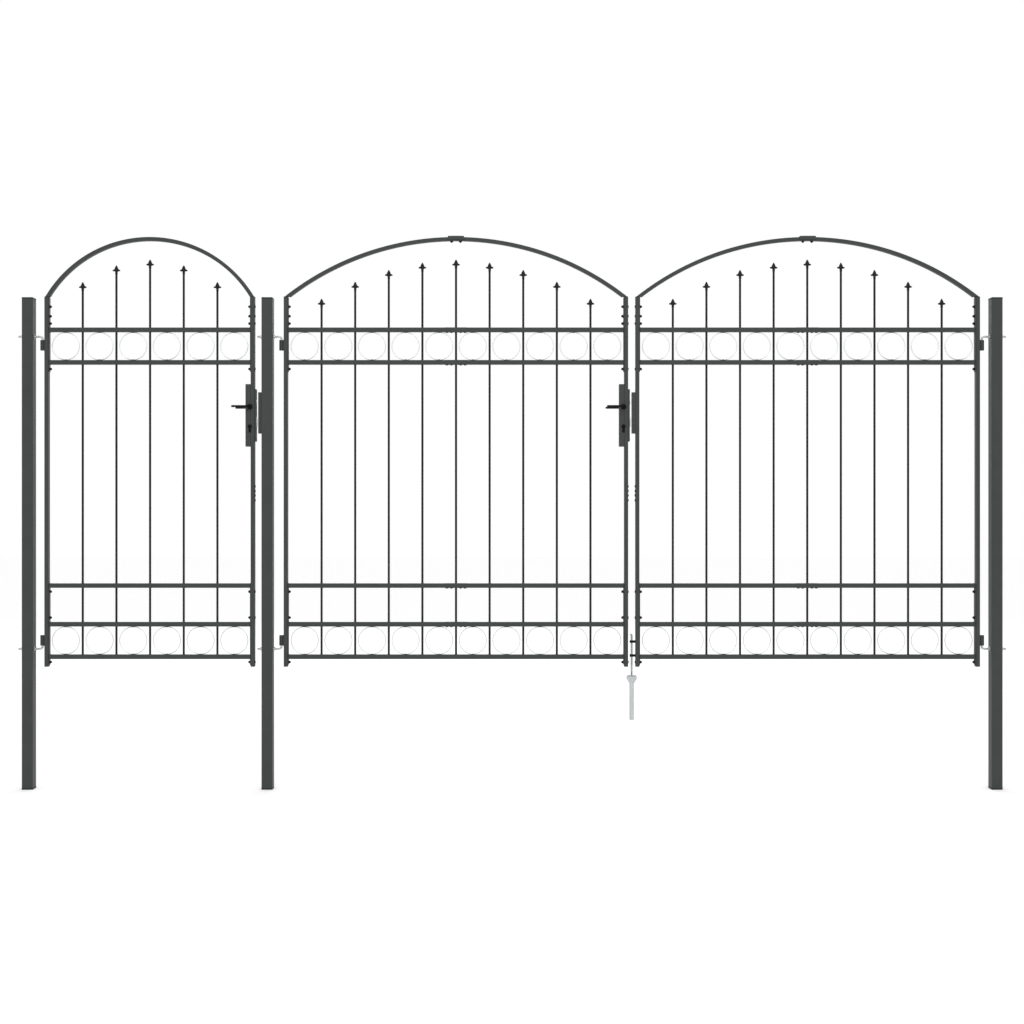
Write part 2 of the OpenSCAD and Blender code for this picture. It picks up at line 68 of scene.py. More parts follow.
def setCamera(setup):
    lens = bpy.data.cameras.new("frontView")
    lens.lens = setup["lens"]
    lens.sensor_width = setup["sensor"]
    camera = bpy.data.objects.new("frontView", lens)
    camera.location = setup["place"]
    camera.rotation_euler = (math.pi / 2, 0, 0)
    scene.collection.objects.link(camera)
    scene.camera = camera


setCamera(cameraSetup)


def inMetres(setup, *keys):  # a piece's named sizes, from mm
    return [setup[key] * mm for key in keys]


def linear(hexText):  # sRGB hex to the linear colour that shaders take
    parts = [int(hexText[k:k + 2], 16) / 255 for k in (1, 3, 5)]
    return [c / 12.92 if c <= 0.04045 else ((c + 0.055) / 1.055) ** 2.4 for c in parts] + [1.0]


def addNode(tree, kind, settings=None, links=None):  # a linked node gives its first output
    node = tree.nodes.new(kind)
    for key, value in (settings or {}).items():
        if isinstance(key, str) and hasattr(node, key):
            setattr(node, key, value)
        else:
            node.inputs[key].default_value = value
    for key, sources in (links or {}).items():
        for source in sources if isinstance(sources, list) else [sources]:
            tree.links.new(getattr(source, "outputs", [source])[0], node.inputs[key])
    return node


def perMetre(sizeMm):  # texture scale for a pattern of that size
    return 1 / (sizeMm * mm)


def newMaterial(name):
    material = bpy.data.materials.new(name)
    material.use_nodes = True
    material.node_tree.nodes.clear()
    return material, material.node_tree


# In each finish one pattern, sized in mm, mixes the two tones and, where rough is a range, the roughness.
# Grain is a finer relief: its size in mm, detail, strength, and depth in mm.

# Polyester powder coat baked on steel tube: satin anthracite, with the slight orange peel of melted powder.
# The tone drifts over a hand's width, coarser than the real drift, so that it shows at this distance.
coatLook = {"name": "powderCoatedSteel", "slot": "coated_steel", "tones": ("#353938", "#404443"), "size": 70,
            "detail": 3.0, "rough": (0.42, 0.58), "grain": (1.8, 2.0, 0.25, 0.2),
            "shader": {"Specular IOR Level": 0.25}}
# The same powder on the round bars and finials, its tones painted much darker than on the tubes as painted shade, so
# that the thin round bars render as dark as the tubes.
shadedBarCoatLook = {"name": "powderCoatedBar", "slot": "coated_steel", "tones": ("#1b1e1d", "#202322"), "size": 40,
               "detail": 3.0, "rough": (0.46, 0.56), "grain": (1.8, 2.0, 0.12, 0.2),
               "shader": {"Specular IOR Level": 0.12}}
# Zinc plate on turned and bent steel: pale, a little cloudy, with the soft patches of the plating bath.
zincLook = {"name": "zincPlatedSteel", "slot": "zinc_steel", "tones": ("#c9cccd", "#b5b9bb"), "size": 9,
            "rough": (0.3, 0.46), "grain": (0.8, 2.0, 0.1, 0.1), "shader": {"Metallic": 1.0}}
# The same plating on the drop rod, rubbed dull by its guides; its tones are a darker grey than the other zinc, a
# level set between the dim upper stretch of the rod between the uprights and its bright lower end.
rodLook = {**zincLook, "name": "zincPlatedRod", "tones": ("#b4b8b9", "#a0a4a7"), "rough": (0.5, 0.66)}
# Drawn wire with bright zinc: nearly white under a pale sky, with the fine marks of the die.
wireLook = {"name": "brightZincWire", "slot": "zinc_steel", "tones": ("#e9ebec", "#d3d6d8"), "size": 1.2,
            "detail": 1.0, "rough": 0.28, "shader": {"Metallic": 1.0}}
# Injection-moulded polyethylene: dull near-black with the spark-eroded grain of its mould.
capLook = {"name": "mouldedPolyethylene", "slot": "cap_plastic", "tones": ("#1d1f1f", "#232626"), "size": 0.9,
           "detail": 4.0, "rough": 0.65, "grain": (0.9, 4.0, 0.3, 0.2), "shader": {"Specular IOR Level": 0.15}}
# Die-cast zinc with a black electro-coat: smooth and dark, softly glossy where a hand rubs it.
castLook = {"name": "blackCoatedCasting", "slot": "black_metal", "tones": ("#0a0b0b", "#101111"), "size": 18,
            "detail": 3.0, "rough": (0.42, 0.56), "shader": {"Specular IOR Level": 0.1}}
# Black oxide on bolts and screws: a thin dark skin, dry and faintly brown where it thins.
oxideLook = {"name": "blackOxideSteel", "slot": "black_metal", "tones": ("#0e0f0f", "#191716"), "size": 4,
             "detail": 2.0, "rough": 0.5, "shader": {"Specular IOR Level": 0.15}}


def makeFinish(look):
    material, tree = newMaterial(look["name"])
    where = addNode(tree, "ShaderNodeTexCoord").outputs["Object"]
    if "detail" in look:
        pattern = addNode(tree, "ShaderNodeTexNoise",
                          {"Scale": perMetre(look["size"]), "Detail": look["detail"]}, {"Vector": where})
    else:  # soft cells, as plating leaves
        pattern = addNode(tree, "ShaderNodeTexVoronoi",
                          {"feature": "SMOOTH_F1", "Scale": perMetre(look["size"])}, {"Vector": where})
    first, second = (linear(tone) for tone in look["tones"])
    tone = addNode(tree, "ShaderNodeMix", {"data_type": "RGBA", 6: first, 7: second}, {0: pattern})
    settings, links = dict(look["shader"]), {"Base Color": tone.outputs[2]}
    if isinstance(look["rough"], tuple):
        least, most = look["rough"]
        links["Roughness"] = addNode(tree, "ShaderNodeMapRange", {"To Min": least, "To Max": most},
                                     {"Value": pattern})
    else:
        settings["Roughness"] = look["rough"]
    if "grain" in look:
        size, detail, strength, depth = look["grain"]
        grain = addNode(tree, "ShaderNodeTexNoise", {"Scale": perMetre(size), "Detail": detail}, {"Vector": where})
        links["Normal"] = addNode(tree, "ShaderNodeBump", {"Strength": strength, "Distance": depth * mm},
                                  {"Height": grain})
    shader = addNode(tree, "ShaderNodeBsdfPrincipled", settings, links)
    addNode(tree, "ShaderNodeOutputMaterial", {}, {"Surface": shader})
    return material


looks = (coatLook, shadedBarCoatLook, zincLook, rodLook, wireLook, capLook, castLook, oxideLook)
coat, shadedBarCoat, zinc, rodZinc, wire, plastic, casting, oxide = (makeFinish(look) for look in looks)
slotFinish = {"coated_steel": coat, "zinc_steel": zinc, "cap_plastic": plastic, "black_metal": casting}
for subpart in frame["record"]["subparts"]:
    solid = frame["nodes"][subpart["node"]]
    solid.data.materials.clear()
    solid.data.materials.append(slotFinish[subpart["material_slot"]])
print("finishes:", len(looks))

sharpAngle = 32  # edges that turn more than this many degrees stay sharp


def dress(obj, body, material, *replaced):  # the piece rides its body and stands for those nodes
    obj.data.polygons.foreach_set("use_smooth", [True] * len(obj.data.polygons))
    obj.data.set_sharp_from_angle(angle=math.radians(sharpAngle))
    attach(obj, body)
    if replaced:
        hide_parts(*replaced)


def meshObject(name, bm, material):
    bmesh.ops.recalc_face_normals(bm, faces=bm.faces)
    mesh = bpy.data.meshes.new(name)
    bm.to_mesh(mesh)
    bm.free()
    mesh.materials.append(material)
    obj = bpy.data.objects.new(name, mesh)
    scene.collection.objects.link(obj)
    return obj


def makePiece(name, bm, material, body, *replaced):
    dress(meshObject(name, bm, material), body, material, *replaced)


def mergeInto(bm, part):
    mesh = bpy.data.meshes.new("part")
    part.to_mesh(mesh)
    part.free()
    bm.from_mesh(mesh)
    bpy.data.meshes.remove(mesh)


def addBlock(bm, low, high, edge):  # box with rounded edges
    part = bmesh.new()
    low, high = Vector(low), Vector(high)
    place = Matrix.Translation((low + high) / 2) @ Matrix.Diagonal((*(high - low), 1))
    bmesh.ops.create_cube(part, size=1, matrix=place)
    bmesh.ops.bevel(part, geom=part.edges[:], offset=edge, segments=3, profile=0.5, affect="EDGES")
    mergeInto(bm, part)


def addPrism(bm, outline, along, edge):  # outline pushed along a vector, with eased ends
    part = bmesh.new()
    near = [part.verts.new(p) for p in outline]
    far = [part.verts.new(Vector(p) + Vector(along)) for p in outline]
    part.faces.new(near)
    part.faces.new(far[::-1])
    for k in range(len(near)):
        part.faces.new([near[k - 1], far[k - 1], far[k], near[k]])
    bmesh.ops.recalc_face_normals(part, faces=part.faces)
    rims = [e for e in part.edges if (e.verts[0] in near) == (e.verts[1] in near)]
    bmesh.ops.bevel(part, geom=rims, offset=edge, segments=2, profile=0.5, affect="EDGES")
    mergeInto(bm, part)


def addLathe(bm, profile, steps, place=Matrix.Identity(4)):  # (radius, height) pairs turned about Z
    turns = [(math.cos(2 * math.pi * k / steps), math.sin(2 * math.pi * k / steps)) for k in range(steps)]
    rings = []
    for radius, height in profile:
        spots = turns if radius > 0 else [(0, 0)]
        rings.append([bm.verts.new(place @ Vector((radius * x, radius * y, height))) for x, y in spots])
    hollow = profile[0][0] > 0  # off the axis, the profile closes on itself
    for low, high in zip(rings, rings[1:] + rings[:1] if hollow else rings[1:]):
        for k in range(steps):
            n = k + 1
            around = [low[k % len(low)], low[n % len(low)], high[n % len(high)], high[k % len(high)]]
            bm.faces.new(list(dict.fromkeys(around)))


def turnedTemplate(name, material, *turnings):  # a shape to copy; each turning is its steps and profile
    bm = bmesh.new()
    for steps, profile in turnings:
        addLathe(bm, profile, steps)
    return meshObject(name, bm, material)


def ringProfile(bore, radius, low, high, edge):  # a bored ring with chamfered outer edges
    return [(bore, low), (radius - edge, low), (radius, low + edge), (radius, high - edge), (radius - edge, high),
            (bore, high)]


def skinRings(bm, rings):  # faces from ring to ring, with closed ends
    for low, high in zip(rings, rings[1:]):
        for k in range(len(low)):
            bm.faces.new([low[k - 1], low[k], high[k], high[k - 1]])
    bm.faces.new(rings[0])
    bm.faces.new(rings[-1])


def addSweep(bm, path, radii, sides, tall=None):  # round or flattened bar along a path, with closed ends
    path = [Vector(p) for p in path]
    last = len(path) - 1
    angles = [2 * math.pi * n / sides for n in range(sides)]
    side = None
    rings = []
    for k, point in enumerate(path):
        ahead = (path[min(k + 1, last)] - path[max(k - 1, 0)]).normalized()
        side = ahead.orthogonal() if side is None else side
        side = (side - ahead * side.dot(ahead)).normalized()
        up = ahead.cross(side)
        offsets = [radii[k] * (side * math.cos(a) + up * math.sin(a)) for a in angles]
        height = tall[k] if tall else 1.0
        rings.append([bm.verts.new(point + Vector((d.x, d.y, d.z * height))) for d in offsets])
    skinRings(bm, rings)


def arc(centre, radius, start, end, count):  # points in a flat plane, angles in degrees
    angles = [math.radians(start + (end - start) * k / (count - 1)) for k in range(count)]
    return [(centre[0] + radius * math.cos(a), centre[1] + radius * math.sin(a)) for a in angles]


def newTree(name, **inputs):  # labels of the inputs of each kind; every tree also takes a material
    tree = bpy.data.node_groups.new(name, "GeometryNodeTree")
    tree.interface.new_socket(name="Geometry", in_out="OUTPUT", socket_type="NodeSocketGeometry")
    for kind, labels in {**inputs, "Material": ["Material"]}.items():
        for label in labels:
            tree.interface.new_socket(name=label, in_out="INPUT", socket_type="NodeSocket" + kind)
    return tree, addNode(tree, "NodeGroupInput").outputs


def endTree(tree, given, geometry):
    real = addNode(tree, "GeometryNodeRealizeInstances", {}, {"Geometry": geometry})
    painted = addNode(tree, "GeometryNodeSetMaterial", {}, {"Geometry": real, "Material": given["Material"]})
    addNode(tree, "NodeGroupOutput", {}, {"Geometry": painted})
    return tree


def bakeTree(name, tree, material, values, points=None):  # runs a tree once and keeps its result as a plain mesh
    values = {**values, "Material": material}
    holder = bpy.data.objects.new(name, points or bpy.data.meshes.new(name + "Start"))
    scene.collection.objects.link(holder)
    build = holder.modifiers.new("build", "NODES")
    build.node_group = tree
    for socket in tree.interface.items_tree:
        if socket.item_type == "SOCKET" and socket.in_out == "INPUT" and socket.name in values:
            build[socket.identifier] = values[socket.name]
    depsgraph = bpy.context.evaluated_depsgraph_get()
    mesh = bpy.data.meshes.new_from_object(holder.evaluated_get(depsgraph), depsgraph=depsgraph)
    holder.modifiers.remove(build)
    holder.data = mesh
    return holder


def scatterTree():  # a template on each point, its Z axis turned to the point's facing
    tree, given = newTree("scatter", Geometry=["Points"], Object=["Template"])
    facing = addNode(tree, "GeometryNodeInputNamedAttribute", {"data_type": "FLOAT_VECTOR", "Name": "facing"})
    turned = addNode(tree, "FunctionNodeAlignRotationToVector", {"axis": "Z"}, {"Vector": facing})
    template = addNode(tree, "GeometryNodeObjectInfo", {}, {"Object": given["Template"]})
    copies = addNode(tree, "GeometryNodeInstanceOnPoints", {},
                     {"Points": given["Points"], "Instance": template.outputs["Geometry"], "Rotation": turned})
    return endTree(tree, given, copies)


scatter = scatterTree()


def scatterPiece(name, template, places, material, body, *replaced):  # places: (point, facing) pairs
    points = bpy.data.meshes.new(name + "Points")
    points.from_pydata([point for point, facing in places], [], [])
    facings = points.attributes.new("facing", "FLOAT_VECTOR", "POINT")
    facings.data.foreach_set("vector", [c for point, facing in places for c in facing])
    copies = bakeTree(name, scatter, material, {"Template": template}, points)
    dress(copies, body, material, *replaced)


def dropTemplates(*templates):
    for template in templates:
        bpy.data.objects.remove(template)


def jointPlace(child):
    return next(joint["pos_m"] for joint in frame["joints"] if joint["child"] == child)


def readLeaf(side, post, lockNode, bars):  # a leaf's lines, taken from its nodes and its post
    hinge, lock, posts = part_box(side + "_hinge_upright"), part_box(lockNode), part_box(post)
    plugs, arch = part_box(side + "_upright_plugs"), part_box(side + "_arch")
    out = 1 if hinge[0].x < lock[0].x else -1  # from the hinge to the lock
    near, far = (1, 0) if out > 0 else (0, 1)
    span = (hinge[1].x, lock[0].x) if out > 0 else (lock[1].x, hinge[0].x)
    half, rise = (arch[1].x - arch[0].x) / 2, arch[1].z - plugs[1].z
    radius = (half ** 2 + rise ** 2) / (2 * rise)
    return {"side": side, "body": side + "_leaf", "out": out, "bars": bars, "post": post,
            "postNear": posts[near].x, "postFar": posts[far].x, "hingeFace": hinge[far].x,
            "lockFace": lock[near].x, "axis": jointPlace(side + "_leaf")[0],
            "first": span[0], "pitch": (span[1] - span[0]) / (bars + 1), "ends": ((span[0], 1), (span[1], -1)),
            "bottom": plugs[0].z, "top": plugs[1].z, "middle": (arch[0].x + arch[1].x) / 2,
            "archRadius": radius, "archCentre": arch[1].z - radius}


leaves = [readLeaf("single", "left_post", "single_lock_upright", 5),
          readLeaf("left", "middle_post", "left_lock_upright", 9),
          readLeaf("right", "right_post", "right_meeting_upright", 9)]
lockLeaves, wideLeaves = leaves[:2], leaves[1:]

# The lip of each post cap, a band of the cap's dark plastic round the joint with its tube; its darkness over the
# tube is painted shade for the shadow gap where the cap sits on the tube
capSetup = {"lip": 3.0, "proud": 0.15, "edge": 0.4}


def buildCapLipsGapShade(setup):
    bm = bmesh.new()
    lip, proud, edge = inMetres(setup, "lip", "proud", "edge")
    for leaf in leaves:
        low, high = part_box(leaf["post"])
        for z in (low.z - lip / 2, high.z - lip / 2):
            addBlock(bm, (low.x - proud, low.y - proud, z), (high.x + proud, high.y + proud, z + lip), edge)
    # the dark band is painted shade for the gap under each cap
    makePiece("cap_lips", bm, plastic, "posts")


buildCapLipsGapShade(capSetup)
print("cap lips:", 2 * len(leaves))

# Arch tube, rolled to a circle and mitred flat on the uprights
archSetup = {"height": 15, "depth": 20, "corner": 1, "cornerSteps": 4, "extra": 2.5, "rings": 121}


def archTree(setup):
    tree, given = newTree("archTube", Vector=["Centre"], Float=[
        "Radius", "Start", "Sweep", "Seat", "Lean", "Tube Height", "Tube Depth", "Corner"])
    line = addNode(tree, "GeometryNodeCurveArc", {"mode": "RADIUS", "Resolution": setup["rings"]},
                   {"Radius": given["Radius"], "Start Angle": given["Start"], "Sweep Angle": given["Sweep"]})
    upright = addNode(tree, "GeometryNodeTransform", {"Rotation": (math.pi / 2, 0, 0)},
                      {"Geometry": line, "Translation": given["Centre"]})
    steady = addNode(tree, "GeometryNodeSetCurveNormal", {"mode": "Z_UP"}, {"Curve": upright})
    outline = addNode(tree, "GeometryNodeCurvePrimitiveQuadrilateral", {"mode": "RECTANGLE"},
                      {"Width": given["Tube Depth"], "Height": given["Tube Height"]})
    rounded = addNode(tree, "GeometryNodeFilletCurve", {"mode": "POLY", "Count": setup["cornerSteps"]},
                      {"Curve": outline, "Radius": given["Corner"]})
    tube = addNode(tree, "GeometryNodeCurveToMesh", {"Fill Caps": True},
                   {"Curve": steady, "Profile Curve": rounded})
    here = addNode(tree, "GeometryNodeInputPosition")
    fromMiddle = addNode(tree, "ShaderNodeVectorMath", {"operation": "SUBTRACT"}, {0: here, 1: given["Centre"]})
    place = addNode(tree, "ShaderNodeSeparateXYZ", {}, {0: here})
    across = addNode(tree, "ShaderNodeSeparateXYZ", {}, {0: fromMiddle})
    under = addNode(tree, "ShaderNodeMath", {"operation": "SUBTRACT"}, {0: given["Seat"], 1: place.outputs["Z"]})
    lift = addNode(tree, "ShaderNodeMath", {"operation": "MAXIMUM", 1: 0.0}, {0: under})
    hand = addNode(tree, "ShaderNodeMath", {"operation": "SIGN"}, {0: across.outputs["X"]})
    slide = addNode(tree, "ShaderNodeMath", {"operation": "MULTIPLY"}, {0: lift, 1: given["Lean"]})
    shift = addNode(tree, "ShaderNodeMath", {"operation": "MULTIPLY"}, {0: slide, 1: hand})
    offset = addNode(tree, "ShaderNodeCombineXYZ", {}, {"X": shift, "Z": lift})
    seated = addNode(tree, "GeometryNodeSetPosition", {}, {"Geometry": tube, "Offset": offset})
    return endTree(tree, given, seated)


def buildArches(setup):
    tree = archTree(setup)
    height, depth, corner = inMetres(setup, "height", "depth", "corner")
    for leaf in leaves:
        edge = math.asin((leaf["top"] - leaf["archCentre"]) / leaf["archRadius"])
        start = edge - math.radians(setup["extra"])
        tube = bakeTree(leaf["side"] + "_arch_tube", tree, coat, {
            "Radius": leaf["archRadius"] - height / 2, "Start": start, "Sweep": math.pi - 2 * start,
            "Centre": (leaf["middle"], 0.0, leaf["archCentre"]), "Seat": leaf["top"], "Lean": -math.tan(edge),
            "Tube Height": height, "Tube Depth": depth, "Corner": corner})
        dress(tube, leaf["body"], coat, leaf["side"] + "_arch")


buildArches(archSetup)
print("arches:", len(leaves))

# Infill: rails between fixing strips, bars through the rails, and a finial on each bar
railSetup = {"height": 18, "depth": 20, "corner": 1, "low": 40, "ringRow": 133, "mid": 331, "top": 135,
             "spliceLength": 92, "spliceWall": 0.5}
stripSetup = {"thick": 3, "depth": 20, "tail": 41, "head": 11, "lift": 4, "slant": 4, "edge": 0.5}
barSetup = {"radius": 4.5, "sides": 16, "tipGap": 90, "tipSpread": 0.031, "spear": 34}


def railHeights(leaf):
    low, row, mid, top = inMetres(railSetup, "low", "ringRow", "mid", "top")
    foot, head = leaf["bottom"], leaf["top"]
    return [foot + low, foot + low + row, foot + mid, head - top - row, head - top]


def buildPanel(leaf, rails, strips):
    bm = bmesh.new()
    heights, middle = railHeights(leaf), leaf["middle"]
    halfH, halfD, reach = rails["height"] * mm / 2, rails["depth"] * mm / 2, rails["spliceLength"] * mm / 2
    wall, corner = inMetres(rails, "spliceWall", "corner")
    (left, _), (right, _) = leaf["ends"]
    for z in heights:
        addBlock(bm, (left, -halfD, z - halfH), (right, halfD, z + halfH), corner)
    for z in heights[1:] if leaf in wideLeaves else []:  # sleeves over the joints of the rails' two halves
        addBlock(bm, (middle - reach, -halfD - wall, z - halfH - wall),
                 (middle + reach, halfD + wall, z + halfH + wall), corner)
    thick, depth, tail, head = inMetres(strips, "thick", "depth", "tail", "head")
    lift, slant, edge = inMetres(strips, "lift", "slant", "edge")
    for x, inward in leaf["ends"]:
        for low, high in ((leaf["bottom"] + lift, heights[2] + head), (heights[3] - tail, leaf["top"])):
            face = x + inward * thick
            outline = [(x, low), (face, low + slant), (face, high - slant), (x, high)]
            addPrism(bm, [(px, -depth / 2, pz) for px, pz in outline], (0, depth, 0), edge)
    makePiece(leaf["side"] + "_rails", bm, coat, leaf["body"], leaf["side"] + "_infill")


def barTree(setup):  # a row of bars whose tops follow the arch
    tree, given = newTree("barRow", Int=["Count"], Vector=["First", "Step"], Object=["Finial"], Float=[
        "Middle", "Arch Radius", "Arch Centre", "Tip Gap", "Tip Spread", "Spear", "Bar Radius"])
    feet = addNode(tree, "GeometryNodeMeshLine", {"mode": "OFFSET"},
                   {"Count": given["Count"], "Start Location": given["First"], "Offset": given["Step"]})
    here = addNode(tree, "ShaderNodeSeparateXYZ", {}, {0: addNode(tree, "GeometryNodeInputPosition")})
    known = {**dict(given.items()), "x": here.outputs["X"], "foot": here.outputs["Z"]}
    for name, operation, *sources in (
            ("across", "SUBTRACT", "x", "Middle"), ("off", "ABSOLUTE", "across"),
            ("offSquare", "MULTIPLY", "off", "off"), ("square", "MULTIPLY", "Arch Radius", "Arch Radius"),
            ("inside", "SUBTRACT", "square", "offSquare"), ("rise", "SQRT", "inside"),
            ("crown", "ADD", "rise", "Arch Centre"), ("gap", "ADD", "Tip Gap", "Spear"),
            ("drop", "MULTIPLY_ADD", "off", "Tip Spread", "gap"), ("top", "SUBTRACT", "crown", "drop"),
            ("length", "SUBTRACT", "top", "foot")):
        known[name] = addNode(tree, "ShaderNodeMath", {"operation": operation},
                              {k: known[source] for k, source in enumerate(sources)})
    # one bar of unit height, which each copy stretches to its own length
    rod = addNode(tree, "GeometryNodeMeshCylinder", {"Vertices": setup["sides"], "Depth": 1.0},
                  {"Radius": given["Bar Radius"]})
    stood = addNode(tree, "GeometryNodeTransform", {"Translation": (0, 0, 0.5)}, {"Geometry": rod})
    stretch = addNode(tree, "ShaderNodeCombineXYZ", {"X": 1.0, "Y": 1.0}, {"Z": known["length"]})
    bars = addNode(tree, "GeometryNodeInstanceOnPoints", {}, {"Points": feet, "Instance": stood, "Scale": stretch})
    lift = addNode(tree, "ShaderNodeCombineXYZ", {}, {"Z": known["length"]})
    heads = addNode(tree, "GeometryNodeSetPosition", {}, {"Geometry": feet, "Offset": lift})
    finial = addNode(tree, "GeometryNodeObjectInfo", {}, {"Object": given["Finial"]})
    finials = addNode(tree, "GeometryNodeInstanceOnPoints", {},
                      {"Points": heads, "Instance": finial.outputs["Geometry"]})
    both = addNode(tree, "GeometryNodeJoinGeometry", {}, {0: [bars, finials]})
    return endTree(tree, given, both)


# Cast finial: a spear blade on a tapered socket, with a leaf curling out on either side
finialSetup = {"socket": 5.4, "waist": 4.9, "foot": -3, "rim": (-2, 1), "neck": 3, "belly": 8, "bellyUp": 13,
               "bellyCurve": 1.6, "bellySteps": 6, "tip": 34, "tipCurve": 0.95, "tipSteps": 10, "point": 0.6,
               "flat": 0.62, "flatOver": 8, "sides": 24, "leafReach": 16, "leafThick": 5.0, "leafUp": 11,
               "leafRise": 1.6, "leafBend": 3, "leafTaper": 2.4, "leafEnd": 0.02, "leafSteps": 10, "leafSides": 12}


def finialTemplate(setup):
    bm = bmesh.new()
    belly, up, tip, neck, waist = (setup[key] for key in ("belly", "bellyUp", "tip", "neck", "waist"))
    profile = [(0, setup["foot"]), (waist, setup["foot"])] + [(setup["socket"], z) for z in setup["rim"]]
    profile += [(waist, neck)]
    count = setup["bellySteps"]
    profile += [(waist + (belly - waist) * (k / count) ** setup["bellyCurve"], neck + (up - neck) * k / count)
                for k in range(1, count + 1)]
    count = setup["tipSteps"]
    profile += [(belly * math.cos(0.5 * math.pi * k / count) ** setup["tipCurve"] + setup["point"],
                 up + (tip - up) * k / count) for k in range(1, count)]
    profile += [(0, tip)]
    addLathe(bm, [(r * mm, z * mm) for r, z in profile], setup["sides"])
    for v in bm.verts:  # the blade is cast flatter than it is wide
        if v.co.z > neck * mm:
            v.co.y *= 1 - (1 - setup["flat"]) * min(1, (v.co.z / mm - neck) / setup["flatOver"])
    shares = [k / setup["leafSteps"] for k in range(setup["leafSteps"] + 1)]
    radii = [setup["leafThick"] * math.sqrt(max(1 - s ** setup["leafTaper"], setup["leafEnd"])) * mm
             for s in shares]
    for way in (-1, 1):
        path = [(way * setup["leafReach"] * s * mm, 0,
                 (setup["leafUp"] + setup["leafRise"] * math.sin(setup["leafBend"] * s)) * mm) for s in shares]
        addSweep(bm, path, radii, setup["leafSides"])
    return meshObject("finialTemplate", bm, coat)


ringSetup = {"wire": 2, "seat": 0.2, "steps": 72, "sides": 12}


def ringTree(setup):  # two rows of wire rings
    tree, given = newTree("ringRows", Int=["Count"], Vector=["Low Row", "High Row", "Step"],
                          Float=["Ring Radius", "Wire Radius"])
    rows = [addNode(tree, "GeometryNodeMeshLine", {"mode": "OFFSET"},
                    {"Count": given["Count"], "Start Location": given[row], "Offset": given["Step"]})
            for row in ("Low Row", "High Row")]
    spots = addNode(tree, "GeometryNodeJoinGeometry", {}, {0: rows})
    circle = addNode(tree, "GeometryNodeCurvePrimitiveCircle", {"mode": "RADIUS", "Resolution": setup["steps"]},
                     {"Radius": given["Ring Radius"]})
    section = addNode(tree, "GeometryNodeCurvePrimitiveCircle", {"mode": "RADIUS", "Resolution": setup["sides"]},
                      {"Radius": given["Wire Radius"]})
    ring = addNode(tree, "GeometryNodeCurveToMesh", {}, {"Curve": circle, "Profile Curve": section})
    stood = addNode(tree, "GeometryNodeTransform", {"Rotation": (math.pi / 2, 0, 0)}, {"Geometry": ring})
    copies = addNode(tree, "GeometryNodeInstanceOnPoints", {}, {"Points": spots, "Instance": stood})
    return endTree(tree, given, copies)


# Welds: a collar where a bar meets a rail, a bead round a rail's end, and a tack where a ring meets a rail
weldSetup = {"collar": 6.2, "collarUp": 2.0, "collarSteps": 14, "bead": 1.7, "beads": 44, "beadSides": 8,
             "beadRings": 5, "beadInset": 1, "tack": 3.8, "tackLength": 10, "tackSteps": 12}


def beadTree(setup):  # overlapping beads round a rail's end
    tree, given = newTree("beadLine", Int=["Beads"], Float=["Width", "Height", "Bead"])
    outline = addNode(tree, "GeometryNodeCurvePrimitiveQuadrilateral", {"mode": "RECTANGLE"},
                      {"Width": given["Width"], "Height": given["Height"]})
    spots = addNode(tree, "GeometryNodeResampleCurve", {"mode": "COUNT"},
                    {"Curve": outline, "Count": given["Beads"]})
    bead = addNode(tree, "GeometryNodeMeshUVSphere", {"Segments": setup["beadSides"], "Rings": setup["beadRings"]},
                   {"Radius": given["Bead"]})
    copies = addNode(tree, "GeometryNodeInstanceOnPoints", {}, {"Points": spots, "Instance": bead})
    return endTree(tree, given, copies)


def weldTemplates(setup):  # profiles in shares of the weld's reach and height
    reach, up, tack = inMetres(setup, "collar", "collarUp", "tack")
    bar = barSetup["radius"] * mm
    collar = turnedTemplate("collarTemplate", coat, (setup["collarSteps"], [
        (bar * 0.9, 0), (reach, 0), (reach * 0.86, up * 0.45), (bar * 1.05, up), (bar * 0.9, up)]))
    bm = bmesh.new()
    addLathe(bm, [(0, -tack), (tack * 0.9, -tack * 0.6), (tack, 0), (tack * 0.7, tack * 0.7), (0, tack)],
             setup["tackSteps"], Matrix.Diagonal((setup["tackLength"] / setup["tack"], 1, 1, 1)))
    lump = meshObject("tackTemplate", bm, coat)
    # the scatter turns Z along the rail, so the outline's width is the rail's height there
    wide, high = ((railSetup[key] - setup["beadInset"]) * mm for key in ("height", "depth"))
    bead = bakeTree("beadTemplate", beadTree(setup), coat, {
        "Width": wide, "Height": high, "Beads": setup["beads"], "Bead": setup["bead"] * mm})
    return collar, lump, bead


